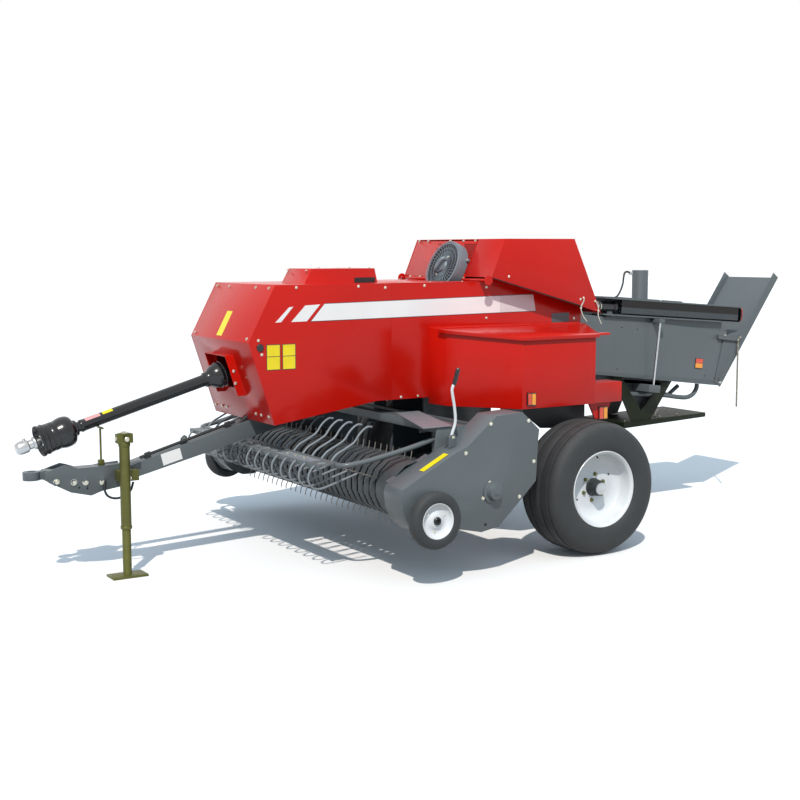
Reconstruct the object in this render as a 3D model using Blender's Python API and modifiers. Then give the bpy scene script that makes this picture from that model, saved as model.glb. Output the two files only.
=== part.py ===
"""Towed inline square baler on two wheels and a parking jack, as separate named pieces.

Lengths are metres. +X points forward, towards the tractor, +Y to the machine's left and +Z up.
Outlines are written in the machine frame, whose origin is on the floor under the wheel axle. The
machine empty then moves everything so that the origin is the middle of the whole footprint.
"""

from __future__ import annotations

import logging
import math
from dataclasses import dataclass
from typing import Iterable, Sequence

import bmesh
import bpy
from mathutils import Matrix, Vector

Point2 = tuple[float, float]
Point3 = tuple[float, float, float]
log = logging.getLogger("square_baler")

# Clearances that many pieces share
FACE_GAP = 0.0003
CUT_OVERRUN = 0.02
WELD_DISTANCE = 0.00002
SCREW_MERGE = 0.0001
FLAT_ANGLE = math.radians(0.02)
SHEET = 0.004
PLATE = 0.008

# Main wheels, whose axle is the origin of every X in this file
TYRE_RADIUS = 0.3935
TYRE_WIDTH = 0.345
WHEEL_TRACK_HALF = 1.02
BEAD_RADIUS = 0.212
RIM_DISH_DEPTH = 0.1
RIM_SHEET = 0.012
HUB_RADIUS = 0.062
HUB_OUTER_LENGTH = 0.03
HUB_INNER_LENGTH = 0.17
HUB_CAP_RADIUS = 0.038
HUB_CAP_LENGTH = 0.045
HUB_BORE_GAP = 0.001
HUB_BORE_DEPTH = 0.12
TYRE_SEGMENTS = 32
# Columns: share of the height from bead to tread, share of half the tyre's width
TYRE_SECTION_SHARES = (
    (0.0, 0.74),
    (0.1, 0.8),
    (0.35, 0.97),
    (0.6, 1.0),
    (0.84, 0.95),
    (0.95, 0.85),
    (1.0, 0.55),
)
RIM_FACE = 0.153
RIM_FLANGE_RADIUS = 0.226
RIM_LIP_THICKNESS = 0.012
AXLE_TUBE_SIZE = 0.1
AXLE_TUBE_HALF = 0.85
AXLE_STUB_RADIUS = 0.032
AXLE_STUB_CLEARANCE = 0.005
AXLE_UPRIGHT_LENGTH = 0.14

# Frame rails under the hood, and the drawbar
RAIL_WIDTH = 0.06
RAIL_BOTTOM_Z = 0.9
RAIL_HEIGHT = 0.12
RAIL_FRONT_X = 1.58
RAIL_REAR_X = -0.34
CROSS_WIDTH = 0.09
CROSS_MIDDLE_X = 1.14
CROSS_THROAT_X = 0.82
HANGER_PLATE = 0.012
HANGER_BEHIND_PIVOT = 0.06
HANGER_AHEAD_OF_PIVOT = 0.028
HANGER_BELOW_PIVOT = 0.04
DRAWBAR_HALF_WIDTH = 0.062
DRAWBAR_FRONT_X = 2.5
DRAWBAR_FRONT_Z = 0.55
DRAWBAR_FRONT_HEIGHT = 0.075
DRAWBAR_REAR_X = 1.5
DRAWBAR_REAR_Z = 0.812
DRAWBAR_REAR_HEIGHT = 0.11
DRAWBAR_RISER_LENGTH = 0.08

# Hitch head: two side plates, a tongue and a ring
HITCH_PLATE_Y = 0.05
HITCH_LENGTH = 0.44
# Columns: share of the length, top and bottom as shares of the height from the beam's middle
HITCH_PLATE_SHARES = (
    (0.0, 0.4, -0.4),
    (0.28, 0.36, -0.5),
    (0.39, 0.32, -0.6),
    (0.43, 0.19, -0.63),
    (0.68, 0.45, -0.46),
    (0.75, 0.5, -0.36),
    (1.0, 0.3, 0.03),
)
# Column: share of the length at which a bolt sits
HITCH_BOLT_SHARES = (0.28, 0.5, 0.65, 0.87)
HITCH_HEIGHT = 0.16
HITCH_RING_RADIUS = 0.046
HITCH_RING_BORE = 0.021
HITCH_RING_THICKNESS = 0.045
HITCH_RING_AHEAD = 0.06
HITCH_RING_X = DRAWBAR_FRONT_X + HITCH_LENGTH + HITCH_RING_AHEAD
HITCH_RING_Z = 0.58
HITCH_BOLT_RADIUS = 0.015
HITCH_BOLT_HEIGHT = 0.012
HITCH_TONGUE_HEIGHT = 0.05

# Parking jack on the left of the drawbar
JACK_X = 2.532
JACK_Y = 0.155
JACK_OUTER_RADIUS = 0.029
JACK_INNER_RADIUS = 0.024
JACK_WALL_GAP = 0.0008
JACK_TUBE_BOTTOM_Z = 0.265
JACK_TUBE_TOP_Z = 0.742
JACK_HEAD_SIZE = 0.088
JACK_HEAD_HEIGHT = 0.05
JACK_LEG_TOP_Z = 0.4
JACK_TRAVEL = 0.22
JACK_FOOT_LENGTH = 0.2
JACK_FOOT_WIDTH = 0.12
JACK_FOOT_THICKNESS = 0.012
JACK_BRACKET_LENGTH = 0.09
JACK_BRACKET_HEIGHT = 0.06

# Drive shaft and its guards
PTO_SLOPE = math.radians(16.2)
PTO_STUB_REACH = 0.185
PTO_JOINT_Z = 1.08
PTO_TUBE_RADIUS = 0.034
PTO_TUBE_BORE = 0.0295
PTO_INNER_RADIUS = 0.0288
PTO_TUBE_START = 0.14
PTO_BELL_WALL = 0.006
PTO_BELL_CUP = 0.08
PTO_TUBE_END = 0.9
PTO_INNER_END = 0.62
PTO_BELL_RADIUS = 0.086
PTO_BELL_NECK_RADIUS = 0.076
PTO_BELL_START = 0.94
PTO_YOKE_START = 1.17
PTO_BELL_END = 1.14
PTO_YOKE_END = 1.268
PTO_YOKE_RADIUS = 0.036
PTO_YOKE_NECK_RADIUS = 0.026
PTO_REAR_CONE_RADIUS = 0.075
PTO_REAR_CONE_START = 0.012
PTO_REAR_CONE_LENGTH = 0.1
PTO_BOX_HALF_WIDTH = 0.145
PTO_BOX_TOP_Z = 1.19
PTO_BOX_BOTTOM_Z = 0.955
PTO_BOX_REACH = 0.055
PTO_STUB_RADIUS = 0.03
PTO_REST_RADIUS = 0.006
PTO_REST_AHEAD = 0.112
PTO_REST_X = DRAWBAR_FRONT_X + PTO_REST_AHEAD
PTO_REST_GAP = 0.006
PTO_REST_SADDLE_HALF = 0.045
PTO_REST_BASE = 0.03
PTO_HOLE_HALF_WIDTH = 0.12
PTO_HOLE_HALF_HEIGHT = 0.09
PTO_STUB_END_GAP = 0.045
PTO_BALL_RADIUS = 0.028
PTO_BALL_NECK_RADIUS = 0.017
PTO_SOCKET_RADIUS = 0.0288

# Front hood, side shields and top cover, as seen from the side
SHIELD_HALF_WIDTH = 0.405
SEAM_X = 0.98
SEAM_GAP = 0.0004
COVER_TOP_Z = 1.59
HOOD_TOP_FRONT_X = 1.731
HOOD_NOSE_X = 1.898
HOOD_NOSE_Z = 1.276
HOOD_CHIN_X = 1.745
HOOD_CHIN_Z = 0.807
SHIELD_BOTTOM_Z = 0.905
SHIELD_SLOPE_X = 1.08
RAISED_BOX_FRONT_X = 1.43
RAISED_BOX_REAR_X = 0.992
RAISED_BOX_HEIGHT = 0.085
RAISED_BOX_FRONT_LEAN = 0.05
RAISED_BOX_REAR_LEAN = 0.02
RAISED_BOX_LEFT_Y = 0.27
RAISED_BOX_RIGHT_Y = -0.02
SHIELD_REAR_X = -0.44
SHIELD_REAR_TOP_Z = 1.43
SHIELD_TOP_BEND_X = 0.3
COVER_REAR_X = 0.33

# Knotter hood, its fixed front panel and its fan
KNOTTER_HALF_WIDTH = 0.497
KNOTTER_FRONT_RISE = 0.026
KNOTTER_RISE = 0.232
KNOTTER_REAR_DROP = 0.236
KNOTTER_SKIRT_DROP = 0.191
KNOTTER_FRONT_X = 0.327
KNOTTER_FRONT_Z = COVER_TOP_Z + KNOTTER_FRONT_RISE
KNOTTER_TOP_Z = KNOTTER_FRONT_Z + KNOTTER_RISE
KNOTTER_TOP_FRONT_X = 0.228
KNOTTER_TOP_REAR_X = -0.307
KNOTTER_REAR_X = -0.529
KNOTTER_REAR_Z = KNOTTER_FRONT_Z - KNOTTER_REAR_DROP
KNOTTER_SKIRT_X = -0.37
KNOTTER_SKIRT_Z = KNOTTER_FRONT_Z - KNOTTER_SKIRT_DROP
KNOTTER_FLANGE_Y = 0.22
KNOTTER_PIVOT_X = 0.35
KNOTTER_HINGE_RISE = 0.008
KNOTTER_PIVOT_Z = COVER_TOP_Z + KNOTTER_HINGE_RISE
KNOTTER_HINGE_RADIUS = 0.009
KNOTTER_HINGE_OPENING = 0.19
KNOTTER_HINGE_GAP = 0.001
KNOTTER_LUG_RADIUS = 0.03
KNOTTER_SIDE_GAP = 0.006
FRONT_PANEL_TOP_GAP = 0.01
FRONT_PANEL_TOP_Z = KNOTTER_TOP_Z - FRONT_PANEL_TOP_GAP
FAN_Y = 0.03
FAN_OUTER_RADIUS = 0.165
FAN_RISE = 0.043
FAN_RING_WALL = 0.008
FAN_DEPTH = 0.07
FAN_RUNNING_GAP = 0.006
FAN_HUB_RADIUS = 0.04
FAN_HUB_LENGTH = 0.03
FAN_BLADE_CHORD = 0.045
FAN_BLADE_THICKNESS = 0.004
FAN_BLADE_PITCH = math.radians(25.0)
FAN_BLADES = 5
FAN_GUARD_RIBS = 12
FAN_RIB_WIDTH = 0.007
FAN_RIB_DEPTH = 0.008
FAN_COVER_CLEARANCE = 0.018

# Bale chamber, pitched down towards the rear about its rear lower corner
CHAMBER_PITCH = math.radians(6.9)
CHAMBER_FRONT_X = 0.9346
CHAMBER_FRONT_Z = 1.1538
CHAMBER_LENGTH = 2.82
CHAMBER_REAR_X = CHAMBER_FRONT_X - CHAMBER_LENGTH * math.cos(CHAMBER_PITCH)
CHAMBER_REAR_Z = CHAMBER_FRONT_Z - CHAMBER_LENGTH * math.sin(CHAMBER_PITCH)
CHAMBER_OUTSIDE_HALF = 0.238
CHAMBER_HEIGHT = 0.388
CHAMBER_WALL = 0.006
CHAMBER_FLANGE = 0.05
FEED_OPENING_LENGTH = 0.37
FEED_OPENING_FROM_FRONT = 0.76
NEEDLE_SLOT_WIDTH = 0.05
NEEDLE_SLOT_LENGTH = 0.16
NEEDLE_SLOT_Y = 0.12
NEEDLE_SLOT_FROM_FRONT = 1.07

# Bale tension rails above and below the chamber, as distances along the chamber from its rear end
TENSION_RAIL_REAR = -0.1
TENSION_RAIL_FRONT = 1.17
TENSION_RAIL_HEIGHT = 0.12
TENSION_RAIL_WEB = 0.01
TENSION_RAIL_WIDTH = 0.12
TENSION_RAIL_RISE = 0.062
TENSION_RAIL_PITCH = math.radians(2.6)
TENSION_RAIL_OUTER_Y = 0.262
TENSION_ROD_FROM_REAR = 0.69
TENSION_ROD_RADIUS = 0.008
TENSION_ROD_Y = 0.29
TENSION_BAR_LENGTH = 0.05
TENSION_BAR_HALF = 0.31
LOWER_RAIL_REAR = 0.28
LOWER_RAIL_DROP = 0.085
LOWER_RAIL_RADIUS = 0.015
LOWER_RAIL_Y = 0.1
LOWER_BAR_LENGTH = 0.1
LOWER_BAR_HEIGHT = 0.05
LOWER_BAR_DROP = 0.035

# Hydraulic oil tank on top of the chamber
TANK_FROM_REAR = 0.62
TANK_RADIUS = 0.056
TANK_HEIGHT = 0.205
TANK_BASE_REAR = 0.42
TANK_BASE_FRONT = 0.98
TANK_BASE_HALF_WIDTH = 0.2

# Bale chute, folded up about the chamber's rear lower edge
CHUTE_ANGLE = math.radians(54.0)
CHUTE_LENGTH = 0.915
CHUTE_SIDE_GAP = 0.0015
CHUTE_RAIL_DEPTH = 0.06
CHUTE_GUSSET_HEIGHT = 0.32
CHUTE_GUSSET_LAP = 0.035
CHUTE_PIVOT_FORWARD = 0.02
CHUTE_PIVOT_RISE = 0.04
CHUTE_FLOOR_DROP = 0.03
CHUTE_FLOOR_START = 0.045
CHUTE_GUSSET_ANGLE = math.radians(29.0)
CHUTE_GUSSET_END = 0.42
CHUTE_PIN_RADIUS = 0.01
CHUTE_PIN_GAP = 0.001
CHAIN_RADIUS = 0.007
CHAIN_BACK = 0.12
CHAIN_LENGTH = 0.465
CHAIN_ARM_HEIGHT = 0.03
CHAIN_ARM_THICKNESS = 0.008
CHAIN_ARM_LAP = 0.09
CHAIN_ARM_GAP = 0.006

# Needle guard under the chamber
GUARD_PLATE_Y = 0.2
GUARD_TOP_FRONT = 0.98
GUARD_TOP_REAR = 0.44
GUARD_LEG_WIDTH = 0.08
GUARD_APEX = 0.72
GUARD_TRAY_DROP = 0.215
GUARD_TRAY_AHEAD = 0.17
GUARD_TRAY_BEHIND = 0.59
GUARD_TRAY_HALF_WIDTH = 0.22
GUARD_TRAY_THICKNESS = 0.03
GUARD_PLATE_THICKNESS = 0.012
GUARD_TRAY_RISE = 0.03

# Knotters on their deck, and the driveline block under the front hood
DECK_Z = 1.5
DECK_THICKNESS = 0.01
DECK_FRONT_X = 0.2
DECK_REAR_X = -0.32
KNOTTER_WIDTH = 0.1
KNOTTER_LENGTH = 0.3
KNOTTER_HEIGHT = 0.17
KNOTTER_Y = 0.12
DECK_LEG = 0.03
GEARBOX_LENGTH = 0.42
GEARBOX_WIDTH = 0.34
GEARBOX_HEIGHT = 0.36
GEARBOX_REAR_X = 1.14
FLYWHEEL_RADIUS = 0.235
FLYWHEEL_REAR_X = 1.6
FLYWHEEL_WIDTH = 0.075
PTO_JOINT_X = FLYWHEEL_REAR_X + FLYWHEEL_WIDTH + PTO_STUB_REACH
FLYWHEEL_SHAFT_RADIUS = 0.045

# Twine boxes, their lids and the lamp brackets behind them
TWINE_FRONT_X = 0.72
TWINE_CUT_TOP_Z = 1.4
TWINE_FRONT_CORNER_X = 0.7
TWINE_FRONT_CORNER_Y = 0.58
TWINE_OUTER_FRONT_X = 0.43
TWINE_OUTER_REAR_X = -0.11
TWINE_OUTER_Y = 0.95
TWINE_REAR_X = -0.42
TWINE_BOTTOM_Z = 0.868
TWINE_RIM_OUTER_Z = 1.28
TWINE_RIM_INNER_Z = 1.325
LID_HINGE_Y = 0.515
LID_REAR_X = -0.35
LID_OVERHANG = 0.02
LID_LIP = 0.016
LID_LIP_THICKNESS = 0.006
LID_HANDLE_LENGTH = 0.09
LID_HANDLE_WIDTH = 0.03
LID_HANDLE_THICKNESS = 0.012
LID_HINGE_RADIUS = 0.006
LID_HINGE_CLEARANCE = 0.0005
LID_SEAT = 0.03
LAMP_BOX_REAR_X = -0.32
LAMP_BOX_LENGTH = 0.21
LAMP_BOX_WIDTH = 0.14
LAMP_BOX_HEIGHT = 0.12
LAMP_BOX_TOP_Z = 0.99
LAMP_BRACKET_BOTTOM_Z = 0.768
LAMP_BRACKET_FRONT_X = -0.09
LAMP_BRACKET_TOP_LENGTH = 0.18
LAMP_BRACKET_BOTTOM_LENGTH = 0.07
LAMP_BRACKET_THICKNESS = 0.012
LAMP_BRACKET_Y = 0.9

# Pickup: everything on it swings about the two ears under the frame rails
PICKUP_PIVOT_X = 0.66
PICKUP_PIVOT_Z = 0.72
PICKUP_EAR_GAP = 0.001
PICKUP_PIN_RADIUS = 0.016
REEL_X = 1.22
REEL_Z = 0.485
BAND_RADIUS = 0.165
BAND_PITCH = 0.066
BAND_SLOT = 0.018
BAND_COUNT = 29
BAND_SHEET = 0.004
TINE_TIP_RADIUS = 0.215
BAND_TAIL_X = 1.0
BAND_TAIL_TOP_Z = 0.6
BAND_SLOT_START_X = 1.03
BAND_ARC_START = 115.0
BAND_ARC_END = -90.0
BAND_ARC_POINTS = 9
TINE_BAR_RADIUS = 0.115
TINE_BAR_THICKNESS = 0.02
TINE_WIDTH = 0.007
TINE_BARS = 4
REEL_SHAFT_RADIUS = 0.028
REEL_SPIDER_THICKNESS = 0.008
REEL_SPIDER_RADIUS = 0.121
REEL_SPIDER_INSET = 0.13
SPIN_GAP = 0.0005
SIDE_OUTER_Y = 1.25
SIDE_DEPTH = 0.18
# Columns: X and Z of the end cover's upper and rear edge, from its front
COVER_EDGE = (
    (1.425, 0.542),
    (1.091, 0.711),
    (1.017, 0.737),
    (0.829, 0.888),
    (0.653, 0.897),
    (0.538, 0.794),
    (0.545, 0.745),
    (0.559, 0.51),
    (0.648, 0.426),
    (0.812, 0.28),
    (0.926, 0.261),
    (1.056, 0.29),
)
COVER_ARC_START = -120.0
COVER_ARC_END = 5.0
COVER_ARC_POINTS = 7
COVER_EDGE_INSET = 0.005
# Columns: X and Z of the ear that carries the beam and the wind guard's pin
SIDE_EAR = (
    (1.12, 0.691),
    (1.1, 0.831),
    (0.9, 0.831),
)
AUGER_X = 0.856
AUGER_Z = 0.475
AUGER_CORE_RADIUS = 0.06
AUGER_FLIGHT_RADIUS = 0.13
AUGER_FLIGHT_THICKNESS = 0.008
AUGER_INNER_Y = 0.5
AUGER_FLIGHTS = 3
AUGER_TILT = math.radians(14.0)
PAN_REAR_X = 0.71
PAN_Z = 0.318
BACK_TOP_Z = 0.8
BACK_RAIL_BOTTOM_Z = 0.72
BACK_RAIL_LENGTH = 0.03
PICKUP_EAR_LENGTH = 0.05
PICKUP_EAR_HALF_HEIGHT = 0.04
BEARING_RADIUS = 0.02
BEARING_LENGTH = 0.04
BEARING_DEPTH = 0.05
SPIN_END_GAP = 0.006
REEL_COMB_HALF = 0.935
THROAT_HALF_WIDTH = 0.47
BEAM_X = 0.963
BEAM_Z = 0.8
BEAM_LENGTH = 0.1
BEAM_HEIGHT = 0.05
HUB_PLATE_RADIUS = 0.06
HUB_PLATE_THICKNESS = 0.01
HUB_BOSS_RADIUS = 0.032
HUB_BOSS_LENGTH = 0.03

# Gauge wheels outside the pickup's end covers
GAUGE_X = 1.271
GAUGE_Z = 0.376
GAUGE_RADIUS = 0.154
GAUGE_WIDTH = 0.078
GAUGE_CENTRE_Y = 1.318
GAUGE_BEAD_RADIUS = 0.095
GAUGE_SEGMENTS = 20
GAUGE_AXLE_RADIUS = 0.012
GAUGE_AXLE_GAP = 0.001
GAUGE_DISH = 0.022
GAUGE_HUB_RADIUS = 0.024
GAUGE_HUB_HALF = 0.03
GAUGE_BORE_DEPTH = 0.05

# Wind guard over the reel
GUARD_PIVOT_X = 1.05
GUARD_PIVOT_Z = 0.765
GUARD_PIVOT_GAP = 0.0008
GUARD_BAR_X = 1.62
GUARD_BAR_Z = 0.64
GUARD_BAR_RADIUS = 0.014
GUARD_ARM_Y = 1.03
GUARD_ARM_ELBOW_X = 1.44
GUARD_ARM_ELBOW_Y = 0.98
GUARD_ARM_ELBOW_Z = 0.668
GUARD_ARM_BEND_Y = 0.92
GUARD_BOSS_RADIUS = 0.024
GUARD_PIN_RADIUS = 0.01
GUARD_BOSS_LENGTH = 0.03
GUARD_PLATE_WIDTH = 0.1
GUARD_PLATE_HALF = 0.88
GUARD_PLATE_THICKNESS = 0.006
GUARD_ROD_RADIUS = 0.0055
GUARD_ROD_PITCH = 0.11
GUARD_ROD_COUNT = 16
GUARD_DRAWBAR_ROOM = 0.1
# Columns: X and Z of a bent rod from the bar, up and back over the reel
GUARD_UPPER_ROD = (
    (1.62, 0.64),
    (1.567, 0.684),
    (1.475, 0.742),
    (1.447, 0.785),
    (1.388, 0.824),
)
# Columns: X and Z of a hooked rod from the plate, round in front and back under the bar
GUARD_LOWER_ROD = (
    (1.69, 0.643),
    (1.747, 0.606),
    (1.749, 0.551),
    (1.703, 0.506),
    (1.458, 0.569),
)

# Lever that sets the pickup's height
LEVER_X = 1.055
LEVER_Y = 1.14
LEVER_RADIUS = 0.008
LEVER_GRIP_RADIUS = 0.013
LEVER_BASE_TOP_Z = 0.79
# Columns: X and Z of the lever's rod below its grip
LEVER_PATH = (
    (1.052, 0.78),
    (1.042, 0.86),
    (1.08, 1.02),
    (1.066, 1.07),
)
LEVER_GRIP_LEAN = 0.028
LEVER_BLOCK = 0.05
LEVER_GRIP_LENGTH = 0.09

# Feed housing between the pickup and the chamber
FEED_FRONT_X = 0.585
FEED_REAR_X = 0.14
FEED_HALF_WIDTH = 0.235
FEED_BOTTOM_Z = 0.4
FEED_REAR_BOTTOM_Z = 0.55
FEED_BEND_X = 0.3
FEED_BEND_Z = 0.42
FEED_WALL = 0.005

# Hose along the drawbar
HOSE_RADIUS = 0.009
HOSE_CLAMP = 0.03
HOSE_CLAMP_INSET = 0.06
HOSE_Y = 0.035
HOSE_FRONT_X = 2.4
HOSE_REAR_X = 1.82
HOSE_RISE = 0.018

# Front and rear of the whole machine, so that its middle becomes the origin
MACHINE_FRONT_X = PTO_JOINT_X + PTO_YOKE_END * math.cos(PTO_SLOPE) + PTO_YOKE_RADIUS * math.sin(PTO_SLOPE)
CHUTE_PIVOT_X = CHAMBER_REAR_X + CHUTE_PIVOT_FORWARD
CHUTE_PIVOT_Z = CHAMBER_REAR_Z + CHUTE_PIVOT_RISE
MACHINE_REAR_X = (
    CHUTE_PIVOT_X
    - CHUTE_LENGTH * math.cos(CHUTE_ANGLE)
    - (CHUTE_FLOOR_DROP + SHEET) * math.sin(CHUTE_ANGLE)
)

SIDES = {"left": 1, "right": -1}


@dataclass(frozen=True)
class Paint:
    """Colour and finish of one material."""

    name: str
    colour: tuple[float, float, float]
    roughness: float
    metallic: float = 0.0


RED = Paint("body_red", (0.52, 0.03, 0.018), 0.35)
GREY = Paint("frame_grey", (0.13, 0.15, 0.16), 0.45)
DARK = Paint("dark_steel", (0.03, 0.035, 0.03), 0.5)
WHITE = Paint("rim_white", (0.8, 0.83, 0.84), 0.35)
BLACK = Paint("black_plastic", (0.012, 0.012, 0.013), 0.4)
RUBBER = Paint("tyre_rubber", (0.025, 0.026, 0.028), 0.85)
STEEL = Paint("bare_steel", (0.62, 0.6, 0.55), 0.3, 0.9)
OLIVE = Paint("plated_olive", (0.17, 0.18, 0.06), 0.4, 0.5)


def clear_scene() -> None:
    """Remove whatever the scene starts with."""
    for obj in list(bpy.data.objects):
        bpy.data.objects.remove(obj, do_unlink=True)


def parts_collection() -> bpy.types.Collection:
    """The collection that holds the machine, made on first use."""
    name = "square_baler"
    if name not in bpy.data.collections:
        bpy.context.scene.collection.children.link(bpy.data.collections.new(name))
    return bpy.data.collections[name]


def paint_material(paint: Paint) -> bpy.types.Material:
    """A Principled material for a paint, shared by the pieces that have it."""
    if paint.name in bpy.data.materials:
        return bpy.data.materials[paint.name]
    made = bpy.data.materials.new(paint.name)
    made.use_nodes = True
    shader = made.node_tree.nodes["Principled BSDF"]
    shader.inputs["Base Color"].default_value = (*paint.colour, 1.0)
    shader.inputs["Roughness"].default_value = paint.roughness
    shader.inputs["Metallic"].default_value = paint.metallic
    return made


class Body:
    """A rigid group of pieces: an empty on its joint's axis, under the body that carries it."""

    def __init__(self, name: str, origin: Point3, carrier: Body | None = None) -> None:
        self.origin = Vector(origin)
        self.empty = bpy.data.objects.new(name, None)
        parts_collection().objects.link(self.empty)
        if carrier:
            self.empty.parent = carrier.empty
            self.empty.location = self.origin - carrier.origin
        else:
            self.empty.location = self.origin

    def add(self, obj: bpy.types.Object, name: str, paint: Paint) -> bpy.types.Object:
        """Name a finished piece, paint it and hang it on this body, with its origin on the axis."""
        obj.name = obj.data.name = name
        obj.data.transform(Matrix.Translation(-self.origin))
        obj.data.materials.clear()
        obj.data.materials.append(paint_material(paint))
        obj.parent = self.empty
        return obj


def new_object(mesh: bpy.types.Mesh) -> bpy.types.Object:
    """Put a mesh into the scene as an object."""
    obj = bpy.data.objects.new("piece", mesh)
    parts_collection().objects.link(obj)
    return obj


def baked(obj: bpy.types.Object) -> bpy.types.Object:
    """The object with its modifiers, or its curve, made into a plain welded mesh."""
    bpy.context.view_layer.update()
    graph = bpy.context.evaluated_depsgraph_get()
    mesh = bpy.data.meshes.new_from_object(obj.evaluated_get(graph))
    mesh.transform(obj.matrix_world)
    work = bmesh.new()
    work.from_mesh(mesh)
    bmesh.ops.remove_doubles(work, verts=work.verts, dist=WELD_DISTANCE)
    bmesh.ops.dissolve_limit(work, angle_limit=FLAT_ANGLE, verts=work.verts, edges=work.edges)
    work.to_mesh(mesh)
    work.free()
    bpy.data.objects.remove(obj, do_unlink=True)
    return new_object(mesh)


def with_boolean(
    base: bpy.types.Object, others: Iterable[bpy.types.Object], operation: str
) -> bpy.types.Object:
    """Join or cut the base with the others, which are used up."""
    used = list(others)
    for number, other in enumerate(used):
        step = base.modifiers.new(f"{operation.lower()}_{number}", "BOOLEAN")
        step.operation = operation
        step.solver = "EXACT"
        step.object = other
    made = baked(base)
    for other in used:
        bpy.data.objects.remove(other, do_unlink=True)
    return made


def joined(base: bpy.types.Object, *others: bpy.types.Object) -> bpy.types.Object:
    """One solid from pieces that overlap."""
    return with_boolean(base, others, "UNION")


def cut(base: bpy.types.Object, *others: bpy.types.Object) -> bpy.types.Object:
    """The base with the others taken out of it."""
    return with_boolean(base, others, "DIFFERENCE")


def gathered(pieces: Sequence[bpy.types.Object]) -> bpy.types.Object:
    """Pieces that stay clear of each other, in one mesh, so that one Boolean handles them all."""
    work = bmesh.new()
    for piece in pieces:
        work.from_mesh(piece.data)
        bpy.data.objects.remove(piece, do_unlink=True)
    mesh = bpy.data.meshes.new("gathered")
    work.to_mesh(mesh)
    work.free()
    return new_object(mesh)


def turned_about_y(obj: bpy.types.Object, pivot: Point2, angle: float) -> bpy.types.Object:
    """Turn a piece about the axis along Y through pivot (X, Z). A positive angle raises its front."""
    centre = Vector((pivot[0], 0.0, pivot[1]))
    turn = Matrix.Rotation(-angle, 4, "Y")
    obj.data.transform(Matrix.Translation(centre) @ turn @ Matrix.Translation(-centre))
    return obj


def block(low: Point3, high: Point3) -> bpy.types.Object:
    """A box between two opposite corners, given in any order."""
    work = bmesh.new()
    bmesh.ops.create_cube(work, size=1.0)
    mesh = bpy.data.meshes.new("block")
    work.to_mesh(mesh)
    work.free()
    size = Vector([abs(b - a) for a, b in zip(low, high)])
    middle = (Vector(low) + Vector(high)) / 2
    mesh.transform(Matrix.Translation(middle) @ Matrix.Diagonal((*size, 1.0)))
    return new_object(mesh)


PLANE_TURNS = {
    "XZ": Matrix.Rotation(math.radians(90.0), 4, "X"),
    "XY": Matrix.Identity(4),
    "YZ": Matrix.Rotation(math.radians(90.0), 4, "Z") @ Matrix.Rotation(math.radians(90.0), 4, "X"),
}


def slab(outlines: Sequence[Sequence[Point2]], plane: str, low: float, high: float) -> bpy.types.Object:
    """A flat outline, with any holes as more outlines, filled and given thickness from low to high."""
    curve = bpy.data.curves.new("outline", "CURVE")
    curve.dimensions = "2D"
    curve.fill_mode = "BOTH"
    curve.extrude = abs(high - low) / 2
    for outline in outlines:
        spline = curve.splines.new("POLY")
        spline.points.add(len(outline) - 1)
        for place, (first, second) in zip(spline.points, outline):
            place.co = (first, second, 0.0, 1.0)
        spline.use_cyclic_u = True
    obj = bpy.data.objects.new("slab", curve)
    parts_collection().objects.link(obj)
    made = baked(obj)
    # The outline's own normal is -Y, +Z or +X.
    middle = (low + high) / 2
    shift = {"XZ": (0.0, middle, 0.0), "XY": (0.0, 0.0, middle), "YZ": (middle, 0.0, 0.0)}[plane]
    made.data.transform(Matrix.Translation(shift) @ PLANE_TURNS[plane])
    return made


def tube(points: Sequence[Point3], radius: float, sides: int = 2) -> bpy.types.Object:
    """A round bar through the points, with flat ends. Its section has 4 + 2 x sides corners."""
    curve = bpy.data.curves.new("tube", "CURVE")
    curve.dimensions = "3D"
    curve.bevel_depth = radius
    curve.bevel_resolution = sides
    curve.use_fill_caps = True
    spline = curve.splines.new("POLY")
    spline.points.add(len(points) - 1)
    for place, point in zip(spline.points, points):
        place.co = (*point, 1.0)
    obj = bpy.data.objects.new("tube", curve)
    parts_collection().objects.link(obj)
    return baked(obj)


def turned(profile: Sequence[Point2], steps: int, closed: bool = False) -> bpy.types.Object:
    """A turned shape about Z. The profile's (radius, height) pairs run down its outer side."""
    mesh = bpy.data.meshes.new("profile")
    last = len(profile) if closed else len(profile) - 1
    edges = [(i, (i + 1) % len(profile)) for i in range(last)]
    mesh.from_pydata([(radius, 0.0, height) for radius, height in profile], edges, [])
    obj = new_object(mesh)
    screw = obj.modifiers.new("turn", "SCREW")
    screw.steps = screw.render_steps = steps
    screw.use_merge_vertices = True
    screw.merge_threshold = SCREW_MERGE
    return baked(obj)


def on_y_axis(obj: bpy.types.Object, place: Point3, side: int = 1) -> bpy.types.Object:
    """Lay a turned shape along Y at a place, with its top towards the given side."""
    lay = Matrix.Rotation(math.radians(-90.0 * side), 4, "X")
    obj.data.transform(Matrix.Translation(place) @ lay)
    return obj


def round_bar(radius: float, low: float, high: float, steps: int = 20) -> bpy.types.Object:
    """A plain round bar about Z."""
    return turned([(0.0, high), (radius, high), (radius, low), (0.0, low)], steps)


def across(radius: float, x: float, z: float, low: float, high: float, steps: int = 20) -> bpy.types.Object:
    """A round bar along Y."""
    return on_y_axis(round_bar(radius, low, high, steps), (x, 0.0, z))


def arc(centre: Point2, radius: float, start: float, end: float, count: int) -> list[Point2]:
    """Points on an arc, with its angles in degrees."""
    angles = [math.radians(start + (end - start) * i / (count - 1)) for i in range(count)]
    return [(centre[0] + radius * math.cos(a), centre[1] + radius * math.sin(a)) for a in angles]


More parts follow.
